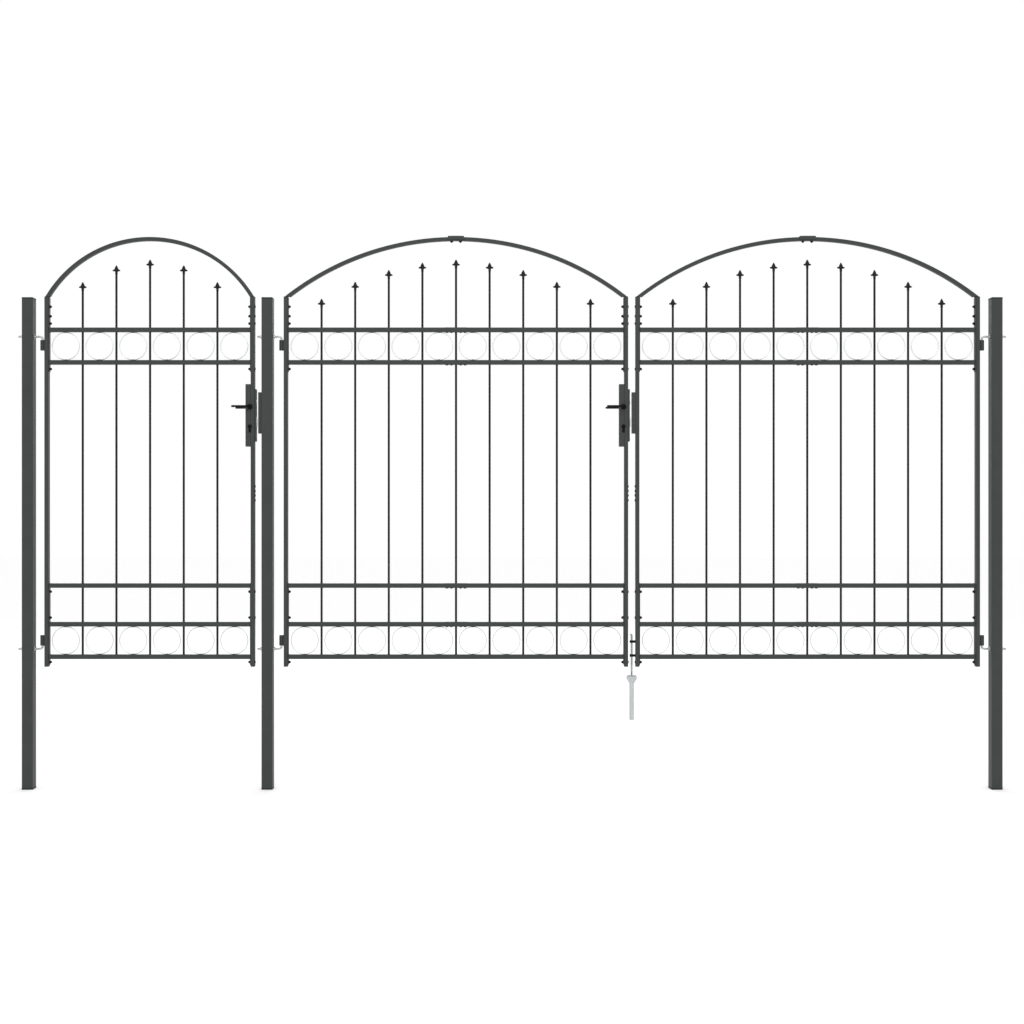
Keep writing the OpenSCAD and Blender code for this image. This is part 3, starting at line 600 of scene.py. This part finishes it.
def buildInfill():
    bars, rings = barTree(barSetup), ringTree(ringSetup)
    finial = finialTemplate(finialSetup)
    collar, lump, bead = weldTemplates(weldSetup)
    barRadius, tipGap, spear = inMetres(barSetup, "radius", "tipGap", "spear")
    wireRadius, seat = inMetres(ringSetup, "wire", "seat")
    halfH, thick = railSetup["height"] * mm / 2, stripSetup["thick"] * mm
    ringReach = (railSetup["ringRow"] - railSetup["height"]) * mm / 2 - seat
    for leaf in leaves:
        side, body, pitch, heights = leaf["side"], leaf["body"], leaf["pitch"], railHeights(leaf)
        buildPanel(leaf, railSetup, stripSetup)
        # the bars and finials take the coat's darker copy, whose tones are painted shade
        row = bakeTree(side + "_bars", bars, shadedBarCoat, {
            "Count": leaf["bars"], "First": (leaf["first"] + pitch, 0.0, heights[0]), "Step": (pitch, 0.0, 0.0),
            "Middle": leaf["middle"], "Arch Radius": leaf["archRadius"], "Arch Centre": leaf["archCentre"],
            "Tip Gap": tipGap, "Tip Spread": barSetup["tipSpread"], "Spear": spear, "Bar Radius": barRadius,
            "Finial": finial})
        dress(row, body, shadedBarCoat, side + "_spear_tips")
        rowZ = [(heights[0] + heights[1]) / 2, (heights[3] + heights[4]) / 2]
        firstX = leaf["first"] + pitch / 2
        ringRows = bakeTree(side + "_ring_rows", rings, wire, {
            "Count": leaf["bars"] + 1, "Low Row": (firstX, 0.0, rowZ[0]), "High Row": (firstX, 0.0, rowZ[1]),
            "Step": (pitch, 0.0, 0.0), "Ring Radius": ringReach - wireRadius, "Wire Radius": wireRadius})
        dress(ringRows, body, wire, side + "_rings")
        tacks = [((firstX + k * pitch, 0, z + way * ringReach), (0, 0, 1))
                 for z in rowZ for k in range(leaf["bars"] + 1) for way in (-1, 1)]
        scatterPiece(side + "_ring_tacks", lump, tacks, coat, body)
        collars = [((leaf["first"] + k * pitch, 0, z + way * halfH), (0, 0, way))
                   for k in range(1, leaf["bars"] + 1) for z in heights
                   for way in (-1, 1) if not (z == heights[0] and way < 0)]
        scatterPiece(side + "_bar_welds", collar, collars, coat, body)
        beads = [((x + way * thick, 0, z), (way, 0, 0)) for x, way in leaf["ends"] for z in heights]
        scatterPiece(side + "_rail_welds", bead, beads, coat, body)
    dropTemplates(finial, collar, lump, bead)


buildInfill()
print("infill panels:", len(leaves))

# Black bolts through the strips, the splice bolts of the uprights and the bolts of the arch and rail joints
boltSetup = {"head": 5.6, "up": 8.6, "headSteps": 18, "bite": 0.2, "fromTop": (40, 79, 109, 295),
             "fromBottom": (306, 200, 18), "splice": (680, 700, 718, 737), "spliceUp": 3.0, "archStep": 18,
             "railSteps": (-37, -19, 19, 37), "washer": 1.2, "washerSteps": 20, "nutFoot": 1.0, "nutEdge": 1.8,
             "nutUp": 4.4, "hexagon": 6, "studSteps": 14}


def boltTemplates(setup):  # profiles in shares of the head's radius and height
    head, up, bite, flat = inMetres(setup, "head", "up", "bite", "spliceUp")
    washer, foot, edge, nutUp = inMetres(setup, "washer", "nutFoot", "nutEdge", "nutUp")
    dome = turnedTemplate("domeTemplate", oxide, (setup["headSteps"], [
        (0, -bite), (head * 1.25, -bite), (head * 1.25, up * 0.18), (head, up * 0.24), (head * 0.97, up * 0.5),
        (head * 0.78, up * 0.82), (head * 0.42, up), (head * 0.36, up * 0.7), (0, up * 0.66)]))
    low = turnedTemplate("lowHeadTemplate", oxide, (setup["headSteps"], [
        (0, -bite), (head * 1.1, -bite), (head * 1.1, flat * 0.3), (head * 0.8, flat * 0.8), (head * 0.4, flat),
        (0, flat)]))
    nut = turnedTemplate(
        "nutEndTemplate", oxide,
        (setup["washerSteps"], [(0, -bite), (head * 1.3, -bite), (head * 1.3, washer), (0, washer)]),
        (setup["hexagon"], [(0, foot), (head * 0.98, foot), (head * 1.08, edge), (head * 1.08, nutUp),
                            (head * 0.98, nutUp * 1.12), (0, nutUp * 1.12)]),
        (setup["studSteps"], [(0, nutUp), (head * 0.5, nutUp), (head * 0.5, nutUp * 1.6), (head * 0.4, nutUp * 1.72),
                              (0, nutUp * 1.72)]))
    return dome, low, nut


def buildBolts(setup):
    dome, low, nut = boltTemplates(setup)
    thick, drop = stripSetup["thick"] * mm, (railSetup["height"] / 2 + railSetup["spliceWall"]) * mm
    for leaf in leaves:
        heights = [leaf["top"] - d * mm for d in setup["fromTop"]]
        heights += [leaf["bottom"] + d * mm for d in setup["fromBottom"]]
        heads = [((x + way * thick, 0, z), (way, 0, 0)) for x, way in leaf["ends"] for z in heights]
        scatterPiece(leaf["side"] + "_strip_bolts", dome, heads, oxide, leaf["body"])
        heights += [leaf["bottom"] + d * mm for d in setup["splice"]]
        ends = [((leaf["lockFace"], 0, z), (leaf["out"], 0, 0)) for z in heights]
        scatterPiece(leaf["side"] + "_upright_bolts", low, ends, oxide, leaf["body"])
    for leaf in wideLeaves:
        under = leaf["archCentre"] + leaf["archRadius"] - archSetup["height"] * mm
        spots = [((leaf["middle"] + way * setup["archStep"] * mm, 0, under), (0, 0, -1)) for way in (-1, 1)]
        scatterPiece(leaf["side"] + "_arch_bolts", nut, spots, oxide, leaf["body"])
        spots = [((leaf["middle"] + step * mm, 0, z - drop), (0, 0, -1))
                 for z in railHeights(leaf)[1:] for step in setup["railSteps"]]
        scatterPiece(leaf["side"] + "_rail_bolts", low, spots, oxide, leaf["body"])
    dropTemplates(dome, low, nut)


buildBolts(boltSetup)
print("bolts: on", len(leaves), "leaves")

# Hinges: hooked bolts with cut threads, nuts and washers, and eyes with a dark liner
hingeSetup = {"bolt": 4, "boltSides": 20, "bend": 10, "bendSteps": 9, "chamfer": 1, "chamferShare": 0.75,
              "rise": 14, "pinShort": 4, "nut": 13, "hexagon": 6, "nutHeight": 6.5, "nutEdge": 0.7,
              "nutCorner": 0.9, "washer": 9, "washerSteps": 32, "washerThick": 1.6, "washerEdge": 0.3,
              "threadPitch": 1.25, "threadUp": 0.3, "threadSteps": 14, "ridgeSides": 4, "tailBare": 1.2,
              "nearBare": 1, "eyeHeight": 42, "eye": 8.5, "bore": 4.3, "eyeEdge": 0.8, "eyeSteps": 40, "web": 10,
              "webSink": 4, "flare": 6, "flareSteps": 6, "liner": 0.5, "linerFrom": 118, "linerSteps": 15,
              "linerEdge": 0.2}


def threadTree(setup):
    tree, given = newTree("thread", Float=["Radius", "Length", "Turns", "Ridge"])
    coil = addNode(tree, "GeometryNodeCurveSpiral", {"Resolution": setup["threadSteps"]},
                   {"Rotations": given["Turns"], "Start Radius": given["Radius"], "End Radius": given["Radius"],
                    "Height": given["Length"]})
    steady = addNode(tree, "GeometryNodeSetCurveNormal", {"mode": "Z_UP"}, {"Curve": coil})
    ridge = addNode(tree, "GeometryNodeCurvePrimitiveCircle", {"mode": "RADIUS", "Resolution": setup["ridgeSides"]},
                    {"Radius": given["Ridge"]})
    cut = addNode(tree, "GeometryNodeCurveToMesh", {"Fill Caps": True}, {"Curve": steady, "Profile Curve": ridge})
    return endTree(tree, given, cut)


def hingeLevels(setup):  # the upper bolt turns down into its eye, the lower one up
    low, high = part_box("hinge_bolts")
    radius = setup["bolt"] * mm
    return [(high.z - radius, -1), (low.z + radius, 1)]


def buildHooks(setup, tail):
    bm = bmesh.new()
    radius, bend, chamfer = inMetres(setup, "bolt", "bend", "chamfer")
    pin = (setup["rise"] + setup["eyeHeight"] - setup["pinShort"]) * mm
    end = [radius * setup["chamferShare"]]
    for leaf in leaves:
        out, axis = leaf["out"], leaf["axis"]
        start = leaf["postFar"] - out * tail
        for z, turn in hingeLevels(setup):
            path = [(start, 0, z), (start + out * chamfer, 0, z), (axis - out * bend, 0, z)]
            path += [(axis - out * bend + out * u, 0, z + turn * (bend + v))
                     for u, v in arc((0, 0), bend, -90, 0, setup["bendSteps"])[1:]]
            path += [(axis, 0, z + turn * (pin - chamfer)), (axis, 0, z + turn * pin)]
            addSweep(bm, path, end + [radius] * (len(path) - 2) + end, setup["boltSides"])
    makePiece("hinge_hooks", bm, zinc, "posts", "hinge_bolts")


def buildNuts(setup, tail):
    bolt, bend, up, thick, wide = inMetres(setup, "bolt", "bend", "nutHeight", "washerThick", "washer")
    nutEdge, washerEdge, tailBare, nearBare = inMetres(setup, "nutEdge", "washerEdge", "tailBare", "nearBare")
    half = setup["nut"] * mm / 2 / math.cos(math.pi / setup["hexagon"])
    corner, stack = half * setup["nutCorner"], thick + up
    nut = turnedTemplate(
        "nutTemplate", zinc,
        (setup["hexagon"], [(corner, thick), (half, thick + nutEdge), (half, stack - nutEdge), (corner, stack),
                            (bolt, stack), (bolt, thick)]),
        (setup["washerSteps"], ringProfile(bolt, wide, 0, thick, washerEdge)))
    toAxis = abs(leaves[0]["axis"] - leaves[0]["postNear"])
    spans = {"tail": tail - stack - tailBare, "near": toAxis - stack - bend - nearBare}
    thread = threadTree(setup)
    threads = {key: bakeTree("threadTemplate" + key, thread, zinc, {
        "Radius": bolt, "Length": span, "Turns": span / (setup["threadPitch"] * mm),
        "Ridge": setup["threadUp"] * mm}) for key, span in spans.items()}
    nuts, coils = [], {"tail": [], "near": []}
    for leaf in leaves:
        out, far, near = leaf["out"], leaf["postFar"], leaf["postNear"]
        for z, turn in hingeLevels(setup):
            nuts += [((far, 0, z), (-out, 0, 0)), ((near, 0, z), (out, 0, 0))]
            coils["tail"].append(((far - out * stack, 0, z), (-out, 0, 0)))
            coils["near"].append(((near + out * stack, 0, z), (out, 0, 0)))
    scatterPiece("hinge_nut_sets", nut, nuts, zinc, "posts", "hinge_nuts")
    for key, spots in coils.items():
        scatterPiece("hinge_threads_" + key, threads[key], spots, zinc, "posts")
    dropTemplates(nut, *threads.values())


def webOutline(setup, reach, halfH):  # from the upright's face outwards, with feet that flare along it
    flare, sink = inMetres(setup, "flare", "webSink")
    angles = [math.pi / 2 * k / setup["flareSteps"] for k in range(setup["flareSteps"] + 1)]
    half = [(reach - sink, halfH)]
    half += [(flare - flare * math.sin(a), halfH + flare - flare * math.cos(a)) for a in angles]
    return half + [(u, -v) for u, v in reversed(half)]


def buildEyes(setup):
    radius, bore, flare, edge = inMetres(setup, "eye", "bore", "flare", "eyeEdge")
    liner, linerEdge = inMetres(setup, "liner", "linerEdge")
    halfH, webHalf = setup["eyeHeight"] * mm / 2, setup["web"] * mm / 2
    barrel = ringProfile(bore, radius, -halfH, halfH, edge)
    first, count = setup["linerFrom"], setup["linerSteps"]
    band = arc((0, 0), radius + liner, first, 360 - first, count)
    band += arc((0, 0), radius - liner, 360 - first, first, count)
    for leaf in leaves:
        plates, liners = bmesh.new(), bmesh.new()
        side, axis, out, face = leaf["side"], leaf["axis"], leaf["out"], leaf["hingeFace"]
        low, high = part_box(side + "_hinge_eyes")
        web = webOutline(setup, abs(axis - face), halfH)
        for z in (low.z + halfH + flare, high.z - halfH - flare):
            addLathe(plates, barrel, setup["eyeSteps"], Matrix.Translation((axis, 0, z)))
            addPrism(plates, [(face - out * u, -webHalf, z + v) for u, v in web], (0, 2 * webHalf, 0), edge)
            addPrism(liners, [(axis + out * u, v, z - halfH) for u, v in band], (0, 0, 2 * halfH), linerEdge)
        makePiece(side + "_eye_plates", plates, coat, leaf["body"], side + "_hinge_eyes")
        makePiece(side + "_eye_liners", liners, casting, leaf["body"])


hingeTail = leaves[0]["postFar"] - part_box("hinge_bolts")[0].x  # how far a bolt's end stands out of its post
buildHooks(hingeSetup, hingeTail)
buildNuts(hingeSetup, hingeTail)
buildEyes(hingeSetup)
print("hinges:", 2 * len(leaves))

# Locks: box case, face strip with latch and dead bolt, profile cylinder and lever pair
lockSetup = {"caseEdge": 1.2, "faceThick": 7, "faceEdge": 0.8, "latchUp": 55, "latchHeight": 18, "noseEdge": 0.4,
             "noseFlat": 0.5, "noseFoot": 0.5, "deadUp": -28, "deadHeight": 38, "tongue": 10, "tongueOut": 3,
             "keyRound": 8.5, "keyWide": 5, "keyTall": 33, "keyEdge": 0.5, "keySteps": (30, 14), "plug": 6.5,
             "plugProud": 0.6, "plugEdge": 0.3, "plugSteps": 24, "slotWide": 1.6, "slotTall": 8, "slotDeep": 3}
leverSetup = {"hub": 11, "hubThick": 8, "hubSteps": 36, "gap": 0.3, "neck": 24, "length": 70, "thick": 6, "end": 5,
              "bend": 12, "bendSteps": 10, "armSteps": 8, "tall": 0.7, "endTall": 0.86, "blunt": 0.55,
              "endSteps": 6, "endSweep": 6.3, "sides": 18, "spindleSides": 16}


def addSlottedPlug(bm, centre, way, setup):  # round plug with a keyway sunk in its face
    radius, edge, proud, deep = inMetres(setup, "plug", "plugEdge", "plugProud", "slotDeep")
    wide, tall, count = setup["slotWide"] * mm / 2, setup["slotTall"] * mm / 2, setup["plugSteps"]
    x, y, z = centre
    least = 1e-6  # keeps the divisions finite
    levels = (0, way * proud, way * proud, -way * deep)
    rings = [[], [], [], []]  # rim, edge, slot and the slot's floor
    for k in range(count):
        c, s = math.cos(2 * math.pi * k / count), math.sin(2 * math.pi * k / count)
        slot = min(wide / max(abs(c), least), tall / max(abs(s), least))
        for ring, reach, level in zip(rings, (radius, radius - edge, slot, slot), levels):
            ring.append(bm.verts.new((x + reach * c, y + level, z + reach * s)))
    skinRings(bm, rings)


def keyOutline(setup):  # euro-profile section, round above and narrow below
    r, w, tall = setup["keyRound"], setup["keyWide"], setup["keyTall"]
    corner = math.degrees(math.asin(w / r))
    upper = arc((0, 0), r, corner - 90, 270 - corner, setup["keySteps"][0])
    lower = arc((0, r + w - tall), w, 180, 360, setup["keySteps"][1])
    return [(u * mm, v * mm) for u, v in upper + lower]


def leverPath(setup, start):  # out from the hub, round a bend, then along the leaf to a rounded end
    reach = start + (setup["hubThick"] + setup["neck"]) * mm
    bend, end, thick = inMetres(setup, "bend", "end", "thick")
    cap = setup["end"] * setup["blunt"] * mm
    tip = setup["length"] * mm - cap
    path = [(0, start), (0, reach - bend)]
    path += [(bend - u, reach - bend + v) for u, v in arc((0, 0), bend, 0, 90, setup["bendSteps"])[1:]]
    radii, tall = [thick] * len(path), [setup["tall"]] * len(path)
    for k in range(1, setup["armSteps"] + 1):
        share = k / setup["armSteps"]
        path.append((bend + (tip - bend) * share, reach))
        radii.append((setup["thick"] + (setup["end"] - setup["thick"]) * share) * mm)
        tall.append(setup["tall"] + (setup["endTall"] - setup["tall"]) * share)
    for k in range(1, setup["endSteps"] + 1):
        a = math.pi / 2 * k / setup["endSweep"]
        path.append((tip + cap * math.sin(a), reach))
        radii.append(end * math.cos(a))
        tall.append(setup["endTall"])
    return path, radii, tall


def buildLever(leaf, case, lever):
    side, out = leaf["side"], leaf["out"]
    axisX, _, axisZ = jointPlace(side + "_lever")
    hub, thick, gap, spindle = inMetres(lever, "hub", "hubThick", "gap", "end")
    start = case[1].y + gap
    path, radii, tall = leverPath(lever, start)
    rose = [(0, 0), (hub, 0), (hub, thick * 0.7), (hub * 0.92, thick * 0.9), (hub * 0.7, thick), (0, thick)]
    bm = bmesh.new()
    for way in (-1, 1):
        addSweep(bm, [(axisX - out * u, way * v, axisZ) for u, v in path], radii, lever["sides"], tall)
        place = Matrix.Translation((axisX, way * start, axisZ)) @ Matrix.Rotation(-way * math.pi / 2, 4, "X")
        addLathe(bm, rose, lever["hubSteps"], place)
    addSweep(bm, [(axisX, -start, axisZ), (axisX, start, axisZ)], [spindle] * 2, lever["spindleSides"])
    makePiece(side + "_lever_pair", bm, casting, side + "_lever", side + "_handle")


def buildLock(leaf, lock, lever):
    side, body, out, back = leaf["side"], leaf["body"], leaf["out"], leaf["lockFace"]
    case, face, key = (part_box(side + "_" + part) for part in ("lock_case", "lock_face", "key_cylinder"))
    caseEdge, faceEdge, noseEdge, keyEdge = inMetres(lock, "caseEdge", "faceEdge", "noseEdge", "keyEdge")
    bm = bmesh.new()
    addBlock(bm, case[0], case[1], caseEdge)
    makePiece(side + "_case_box", bm, coat, body, side + "_lock_case")
    front = back + out * lock["faceThick"] * mm
    bm = bmesh.new()
    addBlock(bm, (back, face[0].y, face[0].z), (front, face[1].y, face[1].z), faceEdge)
    makePiece(side + "_face_strip", bm, coat, body, side + "_lock_face")
    bm = bmesh.new()
    half, reach = lock["tongue"] * mm / 2, front + out * lock["tongueOut"] * mm
    middle = (case[0].z + case[1].z) / 2
    dead, deadHalf = middle + lock["deadUp"] * mm, lock["deadHeight"] * mm / 2
    addBlock(bm, (back, -half, dead - deadHalf), (reach, half, dead + deadHalf), faceEdge)
    latch, latchHalf = middle + lock["latchUp"] * mm, lock["latchHeight"] * mm / 2
    nose = [(back, -half), (reach, -half), (reach, -half * lock["noseFlat"]),
            (front + out * lock["noseFoot"] * mm, half), (back, half)]
    addPrism(bm, [(u, v, latch - latchHalf) for u, v in nose], (0, 0, 2 * latchHalf), noseEdge)
    makePiece(side + "_tongues", bm, zinc, body)
    bm = bmesh.new()
    centre = Vector(((key[0].x + key[1].x) / 2, 0, key[1].z - lock["keyRound"] * mm))
    outline = [(centre.x + u, key[0].y, centre.z + v) for u, v in keyOutline(lock)]
    addPrism(bm, outline, (0, key[1].y - key[0].y, 0), keyEdge)
    for y, way in ((key[0].y, -1), (key[1].y, 1)):
        addSlottedPlug(bm, (centre.x, y, centre.z), way, lock)
    makePiece(side + "_profile_cylinder", bm, casting, body, side + "_key_cylinder")
    buildLever(leaf, case, lever)


for leaf in lockLeaves:
    buildLock(leaf, lockSetup, leverSetup)
print("locks:", len(lockLeaves))

# Flat screws that hold the face strips and the keepers
screwSetup = {"head": 4.2, "up": 0.9, "recess": 2.0, "recessDeep": 0.7, "bite": 0.2, "steps": 18, "keeperStep": 72,
              "stripStep": 97}


def buildScrews(setup):
    head, up, recess, deep, bite = inMetres(setup, "head", "up", "recess", "recessDeep", "bite")
    floor = up - deep
    screw = turnedTemplate("screwTemplate", oxide, (setup["steps"], [
        (0, -bite), (head, -bite), (head, up * 0.5), (head * 0.85, up), (recess, up), (recess * 0.85, floor),
        (0, floor)]))

    def screwPair(name, node, body, x, facing, step):
        low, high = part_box(node)
        spots = [((x, 0, (low.z + high.z) / 2 + way * step * mm), (facing, 0, 0)) for way in (-1, 1)]
        scatterPiece(name, screw, spots, oxide, body)

    for node, body in (("post_keeper", "posts"), ("right_keeper", "right_leaf")):
        screwPair(node + "_screws", node, body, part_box(node)[0].x, -1, setup["keeperStep"])
    for leaf in lockLeaves:
        front = leaf["lockFace"] + leaf["out"] * lockSetup["faceThick"] * mm
        screwPair(leaf["side"] + "_face_screws", leaf["side"] + "_lock_face", leaf["body"], front, leaf["out"],
                  setup["stripStep"])
    dropTemplates(screw)


buildScrews(screwSetup)
print("lock screws: on", len(lockLeaves), "face strips and their keepers")

# Drop bolt, its guides and the socket in the ground
dropSetup = {"rod": 4, "sides": 24, "point": 3, "pointShare": 0.55, "bend": 7, "bendSteps": 8, "grip": 30,
             "gripEdge": 1.5, "gripShare": 0.75, "length": 156, "guide": 9, "guideEdge": 0.8, "collar": 8.5,
             "collarTall": 10, "collarEdge": 1, "collarSteps": 32, "armFrom": 0.8, "play": 0.3}
socketSetup = {"mouth": 21.5, "rim": 12, "cone": 18, "tube": 9.5, "wall": 2.5, "length": 180, "footEdge": 1.2,
               "neckUnder": 2, "neckProud": 0.6, "rimEdge": 0.8, "rimEase": 1, "lipEdge": 0.6, "steps": 48}


def buildDropBolt(setup):
    rod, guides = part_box("drop_bolt"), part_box("rod_guides")
    radius, point, bend, grip, gripEdge = inMetres(setup, "rod", "point", "bend", "grip", "gripEdge")
    x, low = (rod[0].x + rod[1].x) / 2, rod[0].z
    high = low + setup["length"] * mm
    angles = [math.pi / 2 * k / setup["bendSteps"] for k in range(1, setup["bendSteps"] + 1)]
    path = [(x, 0, low), (x, 0, low + point), (x, 0, high)]
    path += [(x, bend - bend * math.cos(a), high + bend * math.sin(a)) for a in angles]
    path += [(x, bend + grip - gripEdge, high + bend), (x, bend + grip, high + bend)]
    radii = [radius * setup["pointShare"]] + [radius] * (len(path) - 2) + [radius * setup["gripShare"]]
    bm = bmesh.new()
    addSweep(bm, path, radii, setup["sides"])
    makePiece("drop_rod_bar", bm, rodZinc, "drop_rod", "drop_bolt")
    collar, edge, play, guideEdge = inMetres(setup, "collar", "collarEdge", "play", "guideEdge")
    bore, halfT, thick = radius + play, setup["collarTall"] * mm / 2, setup["guide"] * mm / 2
    eye = ringProfile(bore, collar, -halfT, halfT, edge)
    bm = bmesh.new()
    for z in (guides[0].z + halfT, guides[1].z - halfT):
        addLathe(bm, eye, setup["collarSteps"], Matrix.Translation((x, 0, z)))
        addBlock(bm, (x + collar * setup["armFrom"], guides[0].y, z - thick),
                 (leaves[2]["lockFace"], guides[1].y, z + thick), guideEdge)
    makePiece("rod_guide_eyes", bm, casting, "right_leaf", "rod_guides")


def buildSocket(setup):
    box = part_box("ground_socket")
    mouth, tube, wall, footEdge, lipEdge = inMetres(setup, "mouth", "tube", "wall", "footEdge", "lipEdge")
    under, proud, rimEdge, ease = inMetres(setup, "neckUnder", "neckProud", "rimEdge", "rimEase")
    rim, neck, foot = -setup["rim"] * mm, -(setup["rim"] + setup["cone"]) * mm, -setup["length"] * mm
    profile = [(0, foot), (tube - footEdge, foot), (tube, foot + footEdge), (tube, neck - under),
               (tube + proud, neck), (mouth - rimEdge, rim - ease), (mouth, rim + ease), (mouth, -lipEdge),
               (mouth - lipEdge, 0), (mouth - wall + lipEdge, 0), (mouth - wall, -lipEdge), (mouth - wall, rim),
               (tube - wall, neck), (tube - wall, foot + wall), (0, foot + wall)]
    bm = bmesh.new()
    addLathe(bm, profile, setup["steps"], Matrix.Translation(((box[0].x + box[1].x) / 2, 0, box[1].z)))
    makePiece("ground_socket_cup", bm, zinc, "posts", "ground_socket")


buildDropBolt(dropSetup)
buildSocket(socketSetup)
print("drop bolt: rod, guides and socket")

# Pale floor and soft studio light; the camera and mirror rays see white beyond the object
stageSetup = {"floor": 60, "floorDrop": 0.5, "floorTone": "#f4f4f4", "floorRough": 0.9, "floorLevel": 0.1,
              "lift": 0.2, "fill": 0.86, "key": 120, "back": 80, "lampSize": 6, "keyPlace": (1.0, -7.0, 5.2),
              "backPlace": (1.0, 6.0, 5.0), "aim": (1.0, 0.0, 1.1)}


def seenRays(tree):  # light paths, and those of them that the camera or a mirror sends
    ray = addNode(tree, "ShaderNodeLightPath").outputs
    seen = addNode(tree, "ShaderNodeMath", {"operation": "MAXIMUM"},
                   {0: ray["Is Camera Ray"], 1: ray["Is Glossy Ray"]})
    return ray, seen


def buildFloor(setup):
    bm = bmesh.new()
    level = cadBox[0].z - setup["floorDrop"] * mm
    bmesh.ops.create_grid(bm, x_segments=1, y_segments=1, size=setup["floor"] / 2,
                          matrix=Matrix.Translation((0, 0, level)))
    material, tree = newMaterial("paintedFloor")
    ray, seen = seenRays(tree)
    lift = addNode(tree, "ShaderNodeMath", {"operation": "MULTIPLY", 1: setup["lift"]}, {0: seen})
    shader = addNode(tree, "ShaderNodeBsdfPrincipled",
                     {"Base Color": linear(setup["floorTone"]), "Roughness": setup["floorRough"],
                      "Specular IOR Level": setup["floorLevel"], "Emission Color": (1, 1, 1, 1)},
                     {"Emission Strength": lift})
    addNode(tree, "ShaderNodeOutputMaterial", {}, {"Surface": shader})
    meshObject("floor", bm, material)


def buildWorld(setup):
    world = bpy.data.worlds.new("studio")
    scene.world = world
    world.use_nodes = True
    tree = world.node_tree
    tree.nodes.clear()
    ray, direct = seenRays(tree)
    seen = addNode(tree, "ShaderNodeMath", {"operation": "MAXIMUM"}, {0: direct, 1: ray["Is Transmission Ray"]})
    strength = addNode(tree, "ShaderNodeMapRange", {"To Min": setup["fill"], "To Max": 1.0}, {"Value": seen})
    sky = addNode(tree, "ShaderNodeBackground", {"Color": (1, 1, 1, 1)}, {"Strength": strength})
    addNode(tree, "ShaderNodeOutputWorld", {}, {"Surface": sky})


def addLamp(name, power, place, setup):
    lamp = bpy.data.lights.new(name, "AREA")
    lamp.energy = power
    lamp.size = setup["lampSize"]
    obj = bpy.data.objects.new(name, lamp)
    obj.location = place
    obj.rotation_euler = (Vector(setup["aim"]) - Vector(place)).to_track_quat("-Z", "Y").to_euler()
    scene.collection.objects.link(obj)


buildFloor(stageSetup)
buildWorld(stageSetup)
addLamp("keyLight", stageSetup["key"], stageSetup["keyPlace"], stageSetup)
addLamp("backLight", stageSetup["back"], stageSetup["backPlace"], stageSetup)
scene.view_settings.view_transform = "Standard"
print("stage: floor, world and two lamps")
